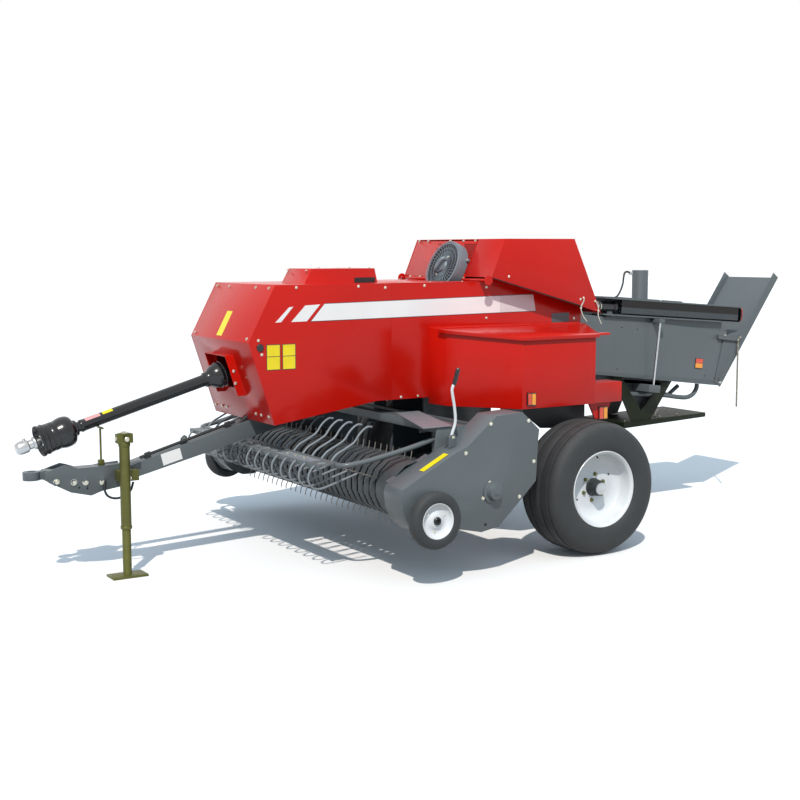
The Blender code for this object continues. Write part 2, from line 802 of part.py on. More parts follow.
def along_chamber(distance: float, height: float) -> Point2:
    """(X, Z) of a point at a distance forward of the chamber's rear and above its lower face."""
    c, s = math.cos(CHAMBER_PITCH), math.sin(CHAMBER_PITCH)
    return CHAMBER_REAR_X + distance * c - height * s, CHAMBER_REAR_Z + distance * s + height * c


def chamber_block(low: Point3, high: Point3) -> bpy.types.Object:
    """A box in the chamber's own pitched frame: (distance from its rear, Y, height above its lower face)."""
    made = block(low, high)
    made.data.transform(Matrix.Translation((CHAMBER_REAR_X, 0.0, CHAMBER_REAR_Z)))
    return turned_about_y(made, (CHAMBER_REAR_X, CHAMBER_REAR_Z), CHAMBER_PITCH)


def chamber_slab(outlines: Sequence[Sequence[Point2]], low: float, high: float) -> bpy.types.Object:
    """A plate across Y whose outline is in (distance from the chamber's rear, height above its floor)."""
    placed = [[along_chamber(distance, height) for distance, height in outline] for outline in outlines]
    return slab(placed, "XZ", low, high)


def inset(outline: Sequence[Point2], distance: float) -> list[Point2]:
    """The outline with each edge moved inwards by a distance, or outwards by a negative one."""
    count = len(outline)
    area = sum(
        outline[i][0] * outline[(i + 1) % count][1] - outline[(i + 1) % count][0] * outline[i][1]
        for i in range(count)
    )
    turn = 1.0 if area > 0 else -1.0
    lines = []
    for i in range(count):
        first, second = Vector(outline[i]), Vector(outline[(i + 1) % count])
        along = (second - first).normalized()
        normal = Vector((-along.y, along.x)) * turn
        lines.append((first + normal * distance, along))
    made = []
    for i in range(count):
        (a, u), (b, v) = lines[i - 1], lines[i]
        cross = u.x * v.y - u.y * v.x
        reach = ((b - a).x * v.y - (b - a).y * v.x) / cross
        made.append(tuple(a + u * reach))
    return made


def bar_section(low: Point2, high: Point2) -> list[Point2]:
    """The four corners of a rectangle."""
    return [low, (high[0], low[1]), high, (low[0], high[1])]


def bored_end(obj: bpy.types.Object, x: float, z: float, end: float) -> bpy.types.Object:
    """A bearing hole in the end, at Y = end, of a part that spins about an axis along Y."""
    inward = end - math.copysign(BEARING_DEPTH, end)
    outward = end + math.copysign(CUT_OVERRUN, end)
    return cut(obj, across(BEARING_RADIUS + SPIN_GAP, x, z, min(inward, outward), max(inward, outward)))


def tyre_outline(radius: float, bead: float, width: float) -> list[Point2]:
    """A tyre's section as (radius, height), from one bead over the tread to the other bead."""
    half = width / 2
    upper = [(bead + (radius - bead) * rise, half * out) for rise, out in TYRE_SECTION_SHARES]
    return upper + [(r, -h) for r, h in reversed(upper)]


def build_wheel(body: Body, label: str, side: int) -> None:
    """A main wheel's tyre and its deep white rim, whose hub turns on the axle stub."""
    centre = (0.0, side * WHEEL_TRACK_HALF, TYRE_RADIUS)
    tyre = turned(tyre_outline(TYRE_RADIUS, BEAD_RADIUS, TYRE_WIDTH), TYRE_SEGMENTS, closed=True)
    body.add(on_y_axis(tyre, centre, side), f"tyre_{label}", RUBBER)
    seat = BEAD_RADIUS - FACE_GAP
    barrel = BEAD_RADIUS - RIM_SHEET
    disc = RIM_FACE - RIM_DISH_DEPTH
    hub_end = disc - HUB_INNER_LENGTH
    bore = AXLE_STUB_RADIUS + HUB_BORE_GAP
    profile = [
        (0.0, disc + HUB_OUTER_LENGTH + HUB_CAP_LENGTH),
        (HUB_CAP_RADIUS, disc + HUB_OUTER_LENGTH + HUB_CAP_LENGTH),
        (HUB_CAP_RADIUS, disc + HUB_OUTER_LENGTH),
        (HUB_RADIUS, disc + HUB_OUTER_LENGTH),
        (HUB_RADIUS, disc),
        (barrel, disc),
        (barrel, RIM_FACE),
        (RIM_FLANGE_RADIUS, RIM_FACE),
        (RIM_FLANGE_RADIUS, RIM_FACE - RIM_LIP_THICKNESS),
        (seat, RIM_FACE - RIM_LIP_THICKNESS),
        (seat, -RIM_FACE),
        (barrel, -RIM_FACE),
        (barrel, disc - RIM_SHEET),
        (HUB_RADIUS, disc - RIM_SHEET),
        (HUB_RADIUS, hub_end),
        (bore, hub_end),
        (bore, hub_end + HUB_BORE_DEPTH),
        (0.0, hub_end + HUB_BORE_DEPTH),
    ]
    body.add(on_y_axis(turned(profile, TYRE_SEGMENTS), centre, side), f"rim_{label}", WHITE)


def rail_inner_y() -> float:
    """The inner face of a frame rail, which lies against the bale chamber."""
    return CHAMBER_OUTSIDE_HALF + FACE_GAP


def build_axle(machine: Body) -> None:
    """The cross tube with the two wheel stubs and the uprights under the frame rails."""
    half = AXLE_TUBE_SIZE / 2
    hub_end = WHEEL_TRACK_HALF + RIM_FACE - RIM_DISH_DEPTH - HUB_INNER_LENGTH
    stub_end = hub_end + HUB_BORE_DEPTH - AXLE_STUB_CLEARANCE
    beam = block((-half, -AXLE_TUBE_HALF, TYRE_RADIUS - half), (half, AXLE_TUBE_HALF, TYRE_RADIUS + half))
    pieces = [across(AXLE_STUB_RADIUS, 0.0, TYRE_RADIUS, -stub_end, stub_end)]
    for side in SIDES.values():
        low = (-AXLE_UPRIGHT_LENGTH / 2, side * rail_inner_y(), TYRE_RADIUS)
        top = RAIL_BOTTOM_Z - FACE_GAP
        pieces.append(block(low, (AXLE_UPRIGHT_LENGTH / 2, side * (rail_inner_y() + RAIL_WIDTH), top)))
    machine.add(joined(beam, *pieces), "axle_beam", GREY)


def build_frame(machine: Body) -> None:
    """Two rails with their crosses, and the hangers with the holes for the pickup's pins."""
    inner, outer = rail_inner_y(), rail_inner_y() + RAIL_WIDTH
    top = RAIL_BOTTOM_Z + RAIL_HEIGHT
    pieces = [
        block((RAIL_REAR_X, side * inner, RAIL_BOTTOM_Z), (RAIL_FRONT_X, side * outer, top))
        for side in SIDES.values()
    ]
    carrying = SHIELD_HALF_WIDTH - SHEET - FACE_GAP
    between = outer - RAIL_WIDTH / 2
    for front, height, reach in (
        (RAIL_FRONT_X - PLATE, RAIL_HEIGHT - SHEET, between),
        (CROSS_MIDDLE_X + CROSS_WIDTH, RAIL_HEIGHT - SHEET, carrying),
        (CROSS_THROAT_X + CROSS_WIDTH, RAIL_HEIGHT - SHEET, carrying),
        (RAIL_REAR_X + PLATE + CROSS_WIDTH, RAIL_HEIGHT / 2, carrying),
    ):
        low = (front - CROSS_WIDTH, -reach, RAIL_BOTTOM_Z + PLATE)
        pieces.append(block(low, (front, reach, RAIL_BOTTOM_Z + height)))
    for side in SIDES.values():
        hanger = block(
            (
                PICKUP_PIVOT_X - HANGER_BEHIND_PIVOT,
                side * (outer - HANGER_PLATE),
                PICKUP_PIVOT_Z - HANGER_BELOW_PIVOT,
            ),
            (PICKUP_PIVOT_X + HANGER_AHEAD_OF_PIVOT, side * outer, RAIL_BOTTOM_Z + HANGER_PLATE),
        )
        pieces.append(hanger)
    frame = joined(*pieces)
    hole = PICKUP_PIN_RADIUS + PICKUP_EAR_GAP
    reach = outer + CUT_OVERRUN
    frame = cut(frame, across(hole, PICKUP_PIVOT_X, PICKUP_PIVOT_Z, -reach, reach))
    machine.add(frame, "frame_rails", GREY)


def drawbar_middle_z(x: float) -> float:
    """Height of the drawbar's middle at a distance forward of the axle."""
    share = (x - DRAWBAR_REAR_X) / (DRAWBAR_FRONT_X - DRAWBAR_REAR_X)
    return DRAWBAR_REAR_Z + (DRAWBAR_FRONT_Z - DRAWBAR_REAR_Z) * share


def drawbar_top_z(x: float) -> float:
    """Height of the drawbar's upper face at a distance forward of the axle."""
    share = (x - DRAWBAR_REAR_X) / (DRAWBAR_FRONT_X - DRAWBAR_REAR_X)
    height = DRAWBAR_REAR_HEIGHT + (DRAWBAR_FRONT_HEIGHT - DRAWBAR_REAR_HEIGHT) * share
    return drawbar_middle_z(x) + height / 2


def build_drawbar(machine: Body) -> None:
    """The tapered beam that rises to the frame's front cross."""
    outline = [
        (DRAWBAR_REAR_X, DRAWBAR_REAR_Z - DRAWBAR_REAR_HEIGHT / 2),
        (DRAWBAR_FRONT_X, DRAWBAR_FRONT_Z - DRAWBAR_FRONT_HEIGHT / 2),
        (DRAWBAR_FRONT_X, DRAWBAR_FRONT_Z + DRAWBAR_FRONT_HEIGHT / 2),
        (DRAWBAR_REAR_X + DRAWBAR_RISER_LENGTH, drawbar_top_z(DRAWBAR_REAR_X + DRAWBAR_RISER_LENGTH)),
        (DRAWBAR_REAR_X + DRAWBAR_RISER_LENGTH, RAIL_BOTTOM_Z + PLATE - FACE_GAP),
        (DRAWBAR_REAR_X, RAIL_BOTTOM_Z + PLATE - FACE_GAP),
    ]
    machine.add(slab([outline], "XZ", -DRAWBAR_HALF_WIDTH, DRAWBAR_HALF_WIDTH), "drawbar", GREY)


def build_hitch(machine: Body) -> None:
    """Two plates on a tongue that ends in the towing ring, all bolted together."""
    rear = DRAWBAR_FRONT_X + FACE_GAP
    along = [rear + HITCH_LENGTH * at for at, _, _ in HITCH_PLATE_SHARES]
    top = [(x, DRAWBAR_FRONT_Z + HITCH_HEIGHT * up) for x, (_, up, _) in zip(along, HITCH_PLATE_SHARES)]
    low = [(x, DRAWBAR_FRONT_Z + HITCH_HEIGHT * down) for x, (_, _, down) in zip(along, HITCH_PLATE_SHARES)]
    pieces = []
    for side in SIDES.values():
        outer = side * HITCH_PLATE_Y
        inner = side * (HITCH_PLATE_Y - PLATE)
        pieces.append(slab([top + low[::-1]], "XZ", min(outer, inner), max(outer, inner)))
    tongue_half = HITCH_TONGUE_HEIGHT / 2
    reach = HITCH_PLATE_Y - PLATE / 2
    tongue = block(
        (rear, -reach, HITCH_RING_Z - tongue_half),
        (rear + HITCH_LENGTH - PLATE, reach, HITCH_RING_Z + tongue_half),
    )
    neck = block(
        (rear + HITCH_LENGTH - PLATE * 2, -HITCH_RING_BORE, HITCH_RING_Z - HITCH_RING_THICKNESS / 2),
        (HITCH_RING_X, HITCH_RING_BORE, HITCH_RING_Z + HITCH_RING_THICKNESS / 2),
    )
    ring = round_bar(HITCH_RING_RADIUS, -HITCH_RING_THICKNESS / 2, HITCH_RING_THICKNESS / 2, 24)
    ring.data.transform(Matrix.Translation((HITCH_RING_X, 0.0, HITCH_RING_Z)))
    bolt_reach = HITCH_PLATE_Y + HITCH_BOLT_HEIGHT
    bolts = [
        across(HITCH_BOLT_RADIUS, rear + HITCH_LENGTH * at, DRAWBAR_FRONT_Z - HITCH_BOLT_RADIUS,
               -bolt_reach, bolt_reach, 6)
        for at in HITCH_BOLT_SHARES
    ]
    head = joined(tongue, neck, ring, *pieces, *bolts)
    bore = round_bar(HITCH_RING_BORE, -HITCH_RING_THICKNESS, HITCH_RING_THICKNESS, 20)
    bore.data.transform(Matrix.Translation((HITCH_RING_X, 0.0, HITCH_RING_Z)))
    machine.add(cut(head, bore), "hitch_head", DARK)


def build_jack(machine: Body, leg: Body) -> None:
    """The jack's outer tube on its bracket, and the leg that slides in it."""
    bore = JACK_INNER_RADIUS + JACK_WALL_GAP
    bore_top = JACK_LEG_TOP_Z + JACK_TRAVEL + JACK_FOOT_THICKNESS
    case = turned(
        [
            (0.0, JACK_TUBE_TOP_Z),
            (JACK_OUTER_RADIUS, JACK_TUBE_TOP_Z),
            (JACK_OUTER_RADIUS, JACK_TUBE_BOTTOM_Z),
            (bore, JACK_TUBE_BOTTOM_Z),
            (bore, bore_top),
            (0.0, bore_top),
        ],
        24,
    )
    case.data.transform(Matrix.Translation((JACK_X, JACK_Y, 0.0)))
    half = JACK_HEAD_SIZE / 2
    head = block(
        (JACK_X - half, JACK_Y - half / 2, JACK_TUBE_TOP_Z - FACE_GAP),
        (JACK_X + half, JACK_Y + half / 2, JACK_TUBE_TOP_Z + JACK_HEAD_HEIGHT),
    )
    middle = drawbar_middle_z(JACK_X - JACK_BRACKET_LENGTH / 2)
    bracket = block(
        (JACK_X - JACK_BRACKET_LENGTH, DRAWBAR_HALF_WIDTH + FACE_GAP, middle - JACK_BRACKET_HEIGHT / 2),
        (
            JACK_X + JACK_INNER_RADIUS,
            JACK_Y - JACK_INNER_RADIUS - JACK_WALL_GAP * 2,
            middle + JACK_BRACKET_HEIGHT / 2,
        ),
    )
    machine.add(joined(case, head, bracket), "jack_tube", OLIVE)
    rod = round_bar(JACK_INNER_RADIUS, JACK_FOOT_THICKNESS / 2, JACK_LEG_TOP_Z, 24)
    rod.data.transform(Matrix.Translation((JACK_X, JACK_Y, 0.0)))
    foot = block(
        (JACK_X - JACK_FOOT_LENGTH / 2, JACK_Y - JACK_FOOT_WIDTH / 2, 0.0),
        (JACK_X + JACK_FOOT_LENGTH / 2, JACK_Y + JACK_FOOT_WIDTH / 2, JACK_FOOT_THICKNESS),
    )
    leg.add(joined(foot, rod), "jack_leg", OLIVE)


def along_shaft(profile: Sequence[Point2], steps: int = 18) -> bpy.types.Object:
    """A turned shape laid along the drive shaft, with its heights measured forward from the rear joint."""
    obj = turned(profile, steps)
    lay = Matrix.Rotation(math.radians(90.0) + PTO_SLOPE, 4, "Y")
    obj.data.transform(Matrix.Translation((PTO_JOINT_X, 0.0, PTO_JOINT_Z)) @ lay)
    return obj


def build_drive_shaft(rear: Body, front: Body) -> None:
    """The shaft's guarded rear tube, and the front half that slides in it."""
    wall = PTO_REAR_CONE_START + PTO_BELL_WALL
    tube_half = along_shaft(
        [
            (0.0, PTO_TUBE_END),
            (PTO_TUBE_BORE, PTO_TUBE_END),
            (PTO_TUBE_RADIUS, PTO_TUBE_END),
            (PTO_TUBE_RADIUS, PTO_TUBE_START),
            (PTO_REAR_CONE_RADIUS, PTO_REAR_CONE_START + PTO_REAR_CONE_LENGTH),
            (PTO_REAR_CONE_RADIUS, wall),
            (PTO_REAR_CONE_RADIUS, PTO_REAR_CONE_START),
            (0.0, PTO_REAR_CONE_START),
        ]
    )
    bore = along_shaft(
        [
            (0.0, PTO_TUBE_END + CUT_OVERRUN),
            (PTO_TUBE_BORE, PTO_TUBE_END + CUT_OVERRUN),
            (PTO_TUBE_BORE, PTO_INNER_END - CUT_OVERRUN),
            (0.0, PTO_INNER_END - CUT_OVERRUN),
        ]
    )
    socket = along_shaft(
        [
            (height, radius)
            for height, radius in arc((0.0, 0.0), PTO_SOCKET_RADIUS, 90.0, -90.0, 13)
        ]
    )
    rear.add(cut(tube_half, bore, socket), "drive_shaft_rear", BLACK)
    neck_end = PTO_BELL_END - PTO_BELL_CUP
    shaft = along_shaft(
        [
            (0.0, PTO_YOKE_END),
            (PTO_YOKE_RADIUS, PTO_YOKE_END),
            (PTO_YOKE_RADIUS, PTO_YOKE_START),
            (PTO_YOKE_NECK_RADIUS, PTO_YOKE_START),
            (PTO_YOKE_NECK_RADIUS, neck_end),
            (PTO_BELL_NECK_RADIUS - PTO_BELL_WALL, neck_end),
            (PTO_BELL_RADIUS - PTO_BELL_WALL, PTO_BELL_END),
            (PTO_BELL_RADIUS, PTO_BELL_END),
            (PTO_BELL_NECK_RADIUS, PTO_BELL_START),
            (PTO_TUBE_RADIUS, PTO_BELL_START - CUT_OVERRUN),
            (PTO_INNER_RADIUS, PTO_BELL_START - CUT_OVERRUN),
            (PTO_INNER_RADIUS, PTO_INNER_END),
            (0.0, PTO_INNER_END),
        ]
    )
    front.add(shaft, "drive_shaft_front", BLACK)


def build_shaft_rest(machine: Body) -> None:
    """The rod on the hitch that the parked drive shaft lies on."""
    base_low = HITCH_RING_Z + HITCH_TONGUE_HEIGHT / 2 + FACE_GAP
    half = PTO_REST_BASE / 2
    base = block((PTO_REST_X - half, -half, base_low), (PTO_REST_X + half, half, base_low + PTO_REST_BASE))
    shaft_z = PTO_JOINT_Z - (PTO_REST_X - PTO_JOINT_X) * math.tan(PTO_SLOPE)
    saddle_z = shaft_z - PTO_TUBE_RADIUS / math.cos(PTO_SLOPE) - PTO_REST_GAP - PTO_REST_RADIUS
    rod = round_bar(PTO_REST_RADIUS, base_low + half, saddle_z, 12)
    rod.data.transform(Matrix.Translation((PTO_REST_X, 0.0, 0.0)))
    saddle = across(PTO_REST_RADIUS, PTO_REST_X, saddle_z, -PTO_REST_SADDLE_HALF, PTO_REST_SADDLE_HALF, 12)
    machine.add(joined(base, rod, saddle), "shaft_rest", DARK)


def hood_face_x(z: float) -> float:
    """X of the front hood's lower front face at a height."""
    share = (z - HOOD_CHIN_Z) / (HOOD_NOSE_Z - HOOD_CHIN_Z)
    return HOOD_CHIN_X + (HOOD_NOSE_X - HOOD_CHIN_X) * share


def build_front_hood(machine: Body) -> None:
    """The sheet hood over the driveline, open below and behind, with the raised box on top."""
    rear = SEAM_X + SEAM_GAP
    outline = [
        (rear, SHIELD_BOTTOM_Z),
        (SHIELD_SLOPE_X, SHIELD_BOTTOM_Z),
        (HOOD_CHIN_X, HOOD_CHIN_Z),
        (HOOD_NOSE_X, HOOD_NOSE_Z),
        (HOOD_TOP_FRONT_X, COVER_TOP_Z),
        (rear, COVER_TOP_Z),
    ]
    inner = inset(outline, SHEET)
    low = SHIELD_BOTTOM_Z - RAIL_HEIGHT - CUT_OVERRUN
    hollow = [
        (rear - CUT_OVERRUN, low),
        (hood_face_x(low) - SHEET, low),
        inner[3],
        inner[4],
        (rear - CUT_OVERRUN, inner[5][1]),
    ]
    box_top = COVER_TOP_Z + RAISED_BOX_HEIGHT
    box = [
        (RAISED_BOX_REAR_X, COVER_TOP_Z - SHEET / 2),
        (RAISED_BOX_FRONT_X + RAISED_BOX_FRONT_LEAN, COVER_TOP_Z - SHEET / 2),
        (RAISED_BOX_FRONT_X, box_top),
        (RAISED_BOX_REAR_X + RAISED_BOX_REAR_LEAN, box_top),
    ]
    box_inner = inset(box, SHEET)
    box_hollow = [
        (box_inner[0][0], COVER_TOP_Z - CUT_OVERRUN),
        (box_inner[1][0], COVER_TOP_Z - CUT_OVERRUN),
        box_inner[2],
        box_inner[3],
    ]
    hood = joined(
        slab([outline], "XZ", -SHIELD_HALF_WIDTH, SHIELD_HALF_WIDTH),
        slab([box], "XZ", RAISED_BOX_RIGHT_Y, RAISED_BOX_LEFT_Y),
    )
    shaft_x = hood_face_x(PTO_JOINT_Z)
    hood = cut(
        hood,
        slab([hollow], "XZ", SHEET - SHIELD_HALF_WIDTH, SHIELD_HALF_WIDTH - SHEET),
        slab([box_hollow], "XZ", RAISED_BOX_RIGHT_Y + SHEET, RAISED_BOX_LEFT_Y - SHEET),
        block(
            (shaft_x - PTO_BOX_HALF_WIDTH, -PTO_HOLE_HALF_WIDTH, PTO_JOINT_Z - PTO_HOLE_HALF_HEIGHT),
            (shaft_x + PTO_BOX_HALF_WIDTH, PTO_HOLE_HALF_WIDTH, PTO_JOINT_Z + PTO_HOLE_HALF_HEIGHT),
        ),
    )
    machine.add(hood, "front_hood", RED)
    top, bottom = PTO_BOX_TOP_Z, PTO_BOX_BOTTOM_Z
    start = FACE_GAP * 2
    guard = [
        (hood_face_x(bottom) + start, bottom),
        (hood_face_x(bottom) + PTO_BOX_REACH, bottom),
        (hood_face_x(top) + PTO_BOX_REACH, top),
        (hood_face_x(top) + start, top),
    ]
    opening = [
        (hood_face_x(bottom - CUT_OVERRUN) - CUT_OVERRUN, bottom - CUT_OVERRUN),
        (hood_face_x(bottom - CUT_OVERRUN) + PTO_BOX_REACH * 2, bottom - CUT_OVERRUN),
        (hood_face_x(top) + PTO_BOX_REACH * 2, top - SHEET),
        (hood_face_x(top) - CUT_OVERRUN, top - SHEET),
    ]
    shroud = cut(
        slab([guard], "XZ", -PTO_BOX_HALF_WIDTH, PTO_BOX_HALF_WIDTH),
        slab([opening], "XZ", SHEET - PTO_BOX_HALF_WIDTH, PTO_BOX_HALF_WIDTH - SHEET),
    )
    machine.add(shroud, "shaft_guard_box", RED)


def build_side_shields(machine: Body) -> None:
    """The flat side panels behind the hood's seam, and the cover on them."""
    outline = [
        (SHIELD_REAR_X, SHIELD_BOTTOM_Z),
        (SEAM_X, SHIELD_BOTTOM_Z),
        (SEAM_X, COVER_TOP_Z - SHEET - FACE_GAP),
        (SHIELD_TOP_BEND_X, COVER_TOP_Z - SHEET - FACE_GAP),
        (SHIELD_REAR_X, SHIELD_REAR_TOP_Z),
    ]
    for label, side in SIDES.items():
        faces = (side * SHIELD_HALF_WIDTH, side * (SHIELD_HALF_WIDTH - SHEET))
        machine.add(slab([outline], "XZ", min(faces), max(faces)), f"side_shield_{label}", RED)


def panel_point(rise: float, out: float) -> Point2:
    """(X, Z) of a point a distance up the knotter hood's leaning front, and out from it."""
    foot, head = Vector((KNOTTER_FRONT_X, KNOTTER_FRONT_Z)), Vector((KNOTTER_TOP_FRONT_X, KNOTTER_TOP_Z))
    up = (head - foot).normalized()
    return tuple(foot + up * rise + Vector((up.y, -up.x)) * out)


def facing_forward(obj: bpy.types.Object) -> bpy.types.Object:
    """Stand a shape that was made about Z at the fan's centre, with its top facing out of the panel."""
    x, z = panel_point(FAN_RISE, 0.0)
    lean = math.atan2(KNOTTER_FRONT_X - KNOTTER_TOP_FRONT_X, KNOTTER_TOP_Z - KNOTTER_FRONT_Z)
    turn = Matrix.Rotation(math.radians(90.0) - lean, 4, "Y")
    obj.data.transform(Matrix.Translation((x, FAN_Y, z)) @ turn)
    return obj


def build_top_cover(machine: Body) -> None:
    """The cover between the hood and the knotters, with the rod that the knotter hood tilts on."""
    cover = block(
        (COVER_REAR_X - SHEET, -SHIELD_HALF_WIDTH, COVER_TOP_Z - SHEET),
        (SEAM_X, SHIELD_HALF_WIDTH, COVER_TOP_Z),
    )
    reach = panel_point(-FAN_OUTER_RADIUS, FAN_DEPTH)[0]
    room = FAN_OUTER_RADIUS + FAN_COVER_CLEARANCE
    gap = block(
        (COVER_REAR_X - CUT_OVERRUN, FAN_Y - room, COVER_TOP_Z - CUT_OVERRUN),
        (reach + FAN_COVER_CLEARANCE, FAN_Y + room, COVER_TOP_Z + CUT_OVERRUN),
    )
    inside = KNOTTER_HALF_WIDTH - FACE_GAP * 2
    spans = ((-inside, FAN_Y - KNOTTER_HINGE_OPENING), (FAN_Y + KNOTTER_HINGE_OPENING, inside))
    rods = [across(KNOTTER_HINGE_RADIUS, KNOTTER_PIVOT_X, KNOTTER_PIVOT_Z, *span, 12) for span in spans]
    machine.add(joined(cut(cover, gap), *rods), "top_cover", RED)


def build_fan(machine: Body, rotor: Body) -> None:
    """The fixed front panel with the fan's ring and ribs, and the rotor in the ring."""
    foot = (COVER_TOP_Z + SHEET / 2 - KNOTTER_FRONT_Z) / (KNOTTER_TOP_Z - KNOTTER_FRONT_Z)
    slope = math.dist((KNOTTER_FRONT_X, KNOTTER_FRONT_Z), (KNOTTER_TOP_FRONT_X, KNOTTER_TOP_Z))
    head = (FRONT_PANEL_TOP_Z - KNOTTER_FRONT_Z) / (KNOTTER_TOP_Z - KNOTTER_FRONT_Z)
    outline = [
        panel_point(foot * slope, 0.0),
        panel_point(head * slope, 0.0),
        panel_point(head * slope, -SHEET),
        panel_point(foot * slope, -SHEET),
    ]
    right = KNOTTER_SIDE_GAP + SHEET - KNOTTER_HALF_WIDTH
    panel = slab([outline], "XZ", right, KNOTTER_FLANGE_Y - KNOTTER_SIDE_GAP)
    bore = FAN_OUTER_RADIUS - FAN_RING_WALL
    ring = facing_forward(
        turned(
            [
                (FAN_OUTER_RADIUS, FAN_DEPTH),
                (FAN_OUTER_RADIUS, -SHEET),
                (bore, -SHEET),
                (bore, FAN_DEPTH),
            ],
            32,
            closed=True,
        )
    )
    hub_start = FAN_DEPTH - FAN_RIB_DEPTH / 2
    hub = facing_forward(round_bar(FAN_HUB_RADIUS, hub_start, FAN_DEPTH + FAN_HUB_LENGTH, 20))
    panel = cut(panel, facing_forward(round_bar(bore + FAN_RING_WALL / 2, -CUT_OVERRUN, CUT_OVERRUN, 32)))
    machine.add(joined(panel, ring), "knotter_front_panel", RED)
    rim = arc((0.0, 0.0), bore - FACE_GAP * 2, 0.0, 360.0, 33)[:-1]
    windows = []
    for number in range(FAN_GUARD_RIBS):
        start, end = 360.0 * number / FAN_GUARD_RIBS, 360.0 * (number + 1) / FAN_GUARD_RIBS
        outer, inner = bore - FAN_RING_WALL, FAN_HUB_RADIUS - FAN_RING_WALL
        spread = math.degrees(FAN_RIB_WIDTH / 2 / outer)
        narrow = math.degrees(FAN_RIB_WIDTH / 2 / inner)
        window = arc((0.0, 0.0), outer, start + spread, end - spread, 4)
        window += arc((0.0, 0.0), inner, end - narrow, start + narrow, 2)
        windows.append(window)
    guard = facing_forward(slab([rim, *windows], "XY", FAN_DEPTH - FAN_RIB_DEPTH, FAN_DEPTH))
    machine.add(joined(guard, hub), "fan_guard", BLACK)
    blades = []
    tip = bore - FAN_RUNNING_GAP
    middle = (FAN_DEPTH - FAN_RIB_DEPTH) / 2
    for number in range(FAN_BLADES):
        blade = block(
            (FAN_HUB_RADIUS / 2, -FAN_BLADE_CHORD / 2, -FAN_BLADE_THICKNESS / 2),
            (tip, FAN_BLADE_CHORD / 2, FAN_BLADE_THICKNESS / 2),
        )
        pitch = Matrix.Rotation(FAN_BLADE_PITCH, 4, "X")
        turn = Matrix.Rotation(math.tau * number / FAN_BLADES, 4, "Z")
        blade.data.transform(Matrix.Translation((0.0, 0.0, middle)) @ turn @ pitch)
        blades.append(facing_forward(blade))
    core = facing_forward(
        round_bar(FAN_HUB_RADIUS, middle - FAN_BLADE_CHORD / 3, middle + FAN_BLADE_CHORD / 3, 20)
    )
    neck = facing_forward(
        round_bar(FAN_HUB_RADIUS / 2, middle, FAN_DEPTH - FAN_RIB_DEPTH - SPIN_GAP, 20)
    )
    rotor.add(joined(core, neck, *blades), "fan_rotor", BLACK)


def build_knotter_hood(hood: Body) -> None:
    """The hood over the knotters, whose front is open beside its left flange for the fixed panel."""
    outline = [
        (KNOTTER_FRONT_X, KNOTTER_FRONT_Z),
        (KNOTTER_TOP_FRONT_X, KNOTTER_TOP_Z),
        (KNOTTER_TOP_REAR_X, KNOTTER_TOP_Z),
        (KNOTTER_REAR_X, KNOTTER_REAR_Z),
        (KNOTTER_SKIRT_X, KNOTTER_SKIRT_Z),
    ]
    inner = inset(outline, SHEET)
    low = KNOTTER_REAR_Z - CUT_OVERRUN * 2
    hollow = [
        (inner[0][0] + CUT_OVERRUN, low),
        inner[0],
        inner[1],
        inner[2],
        inner[3],
        (inner[3][0], low),
    ]
    mouth = [
        (KNOTTER_FRONT_X, KNOTTER_FRONT_Z - CUT_OVERRUN),
        (KNOTTER_FRONT_X + CUT_OVERRUN * 2, KNOTTER_FRONT_Z - CUT_OVERRUN),
        (KNOTTER_FRONT_X + CUT_OVERRUN * 2, KNOTTER_TOP_Z - SHEET),
        (KNOTTER_TOP_REAR_X, KNOTTER_TOP_Z - SHEET),
    ]
    inside = KNOTTER_HALF_WIDTH - SHEET
    shell = slab([outline], "XZ", -KNOTTER_HALF_WIDTH, KNOTTER_HALF_WIDTH)
    lugs = []
    for side in SIDES.values():
        faces = (side * (KNOTTER_HALF_WIDTH - FACE_GAP), side * (inside + FACE_GAP))
        lugs.append(
            across(KNOTTER_LUG_RADIUS, KNOTTER_PIVOT_X, KNOTTER_PIVOT_Z, min(faces), max(faces), 20)
        )
    shell = cut(
        shell,
        slab([hollow], "XZ", -inside, inside),
        slab([mouth], "XZ", FACE_GAP - inside, KNOTTER_FLANGE_Y),
    )
    shell = cut(
        joined(shell, *lugs),
        across(KNOTTER_HINGE_RADIUS + KNOTTER_HINGE_GAP, KNOTTER_PIVOT_X, KNOTTER_PIVOT_Z,
               -KNOTTER_HALF_WIDTH - CUT_OVERRUN, KNOTTER_HALF_WIDTH + CUT_OVERRUN, 16),
    )
    hood.add(shell, "knotter_hood", RED)


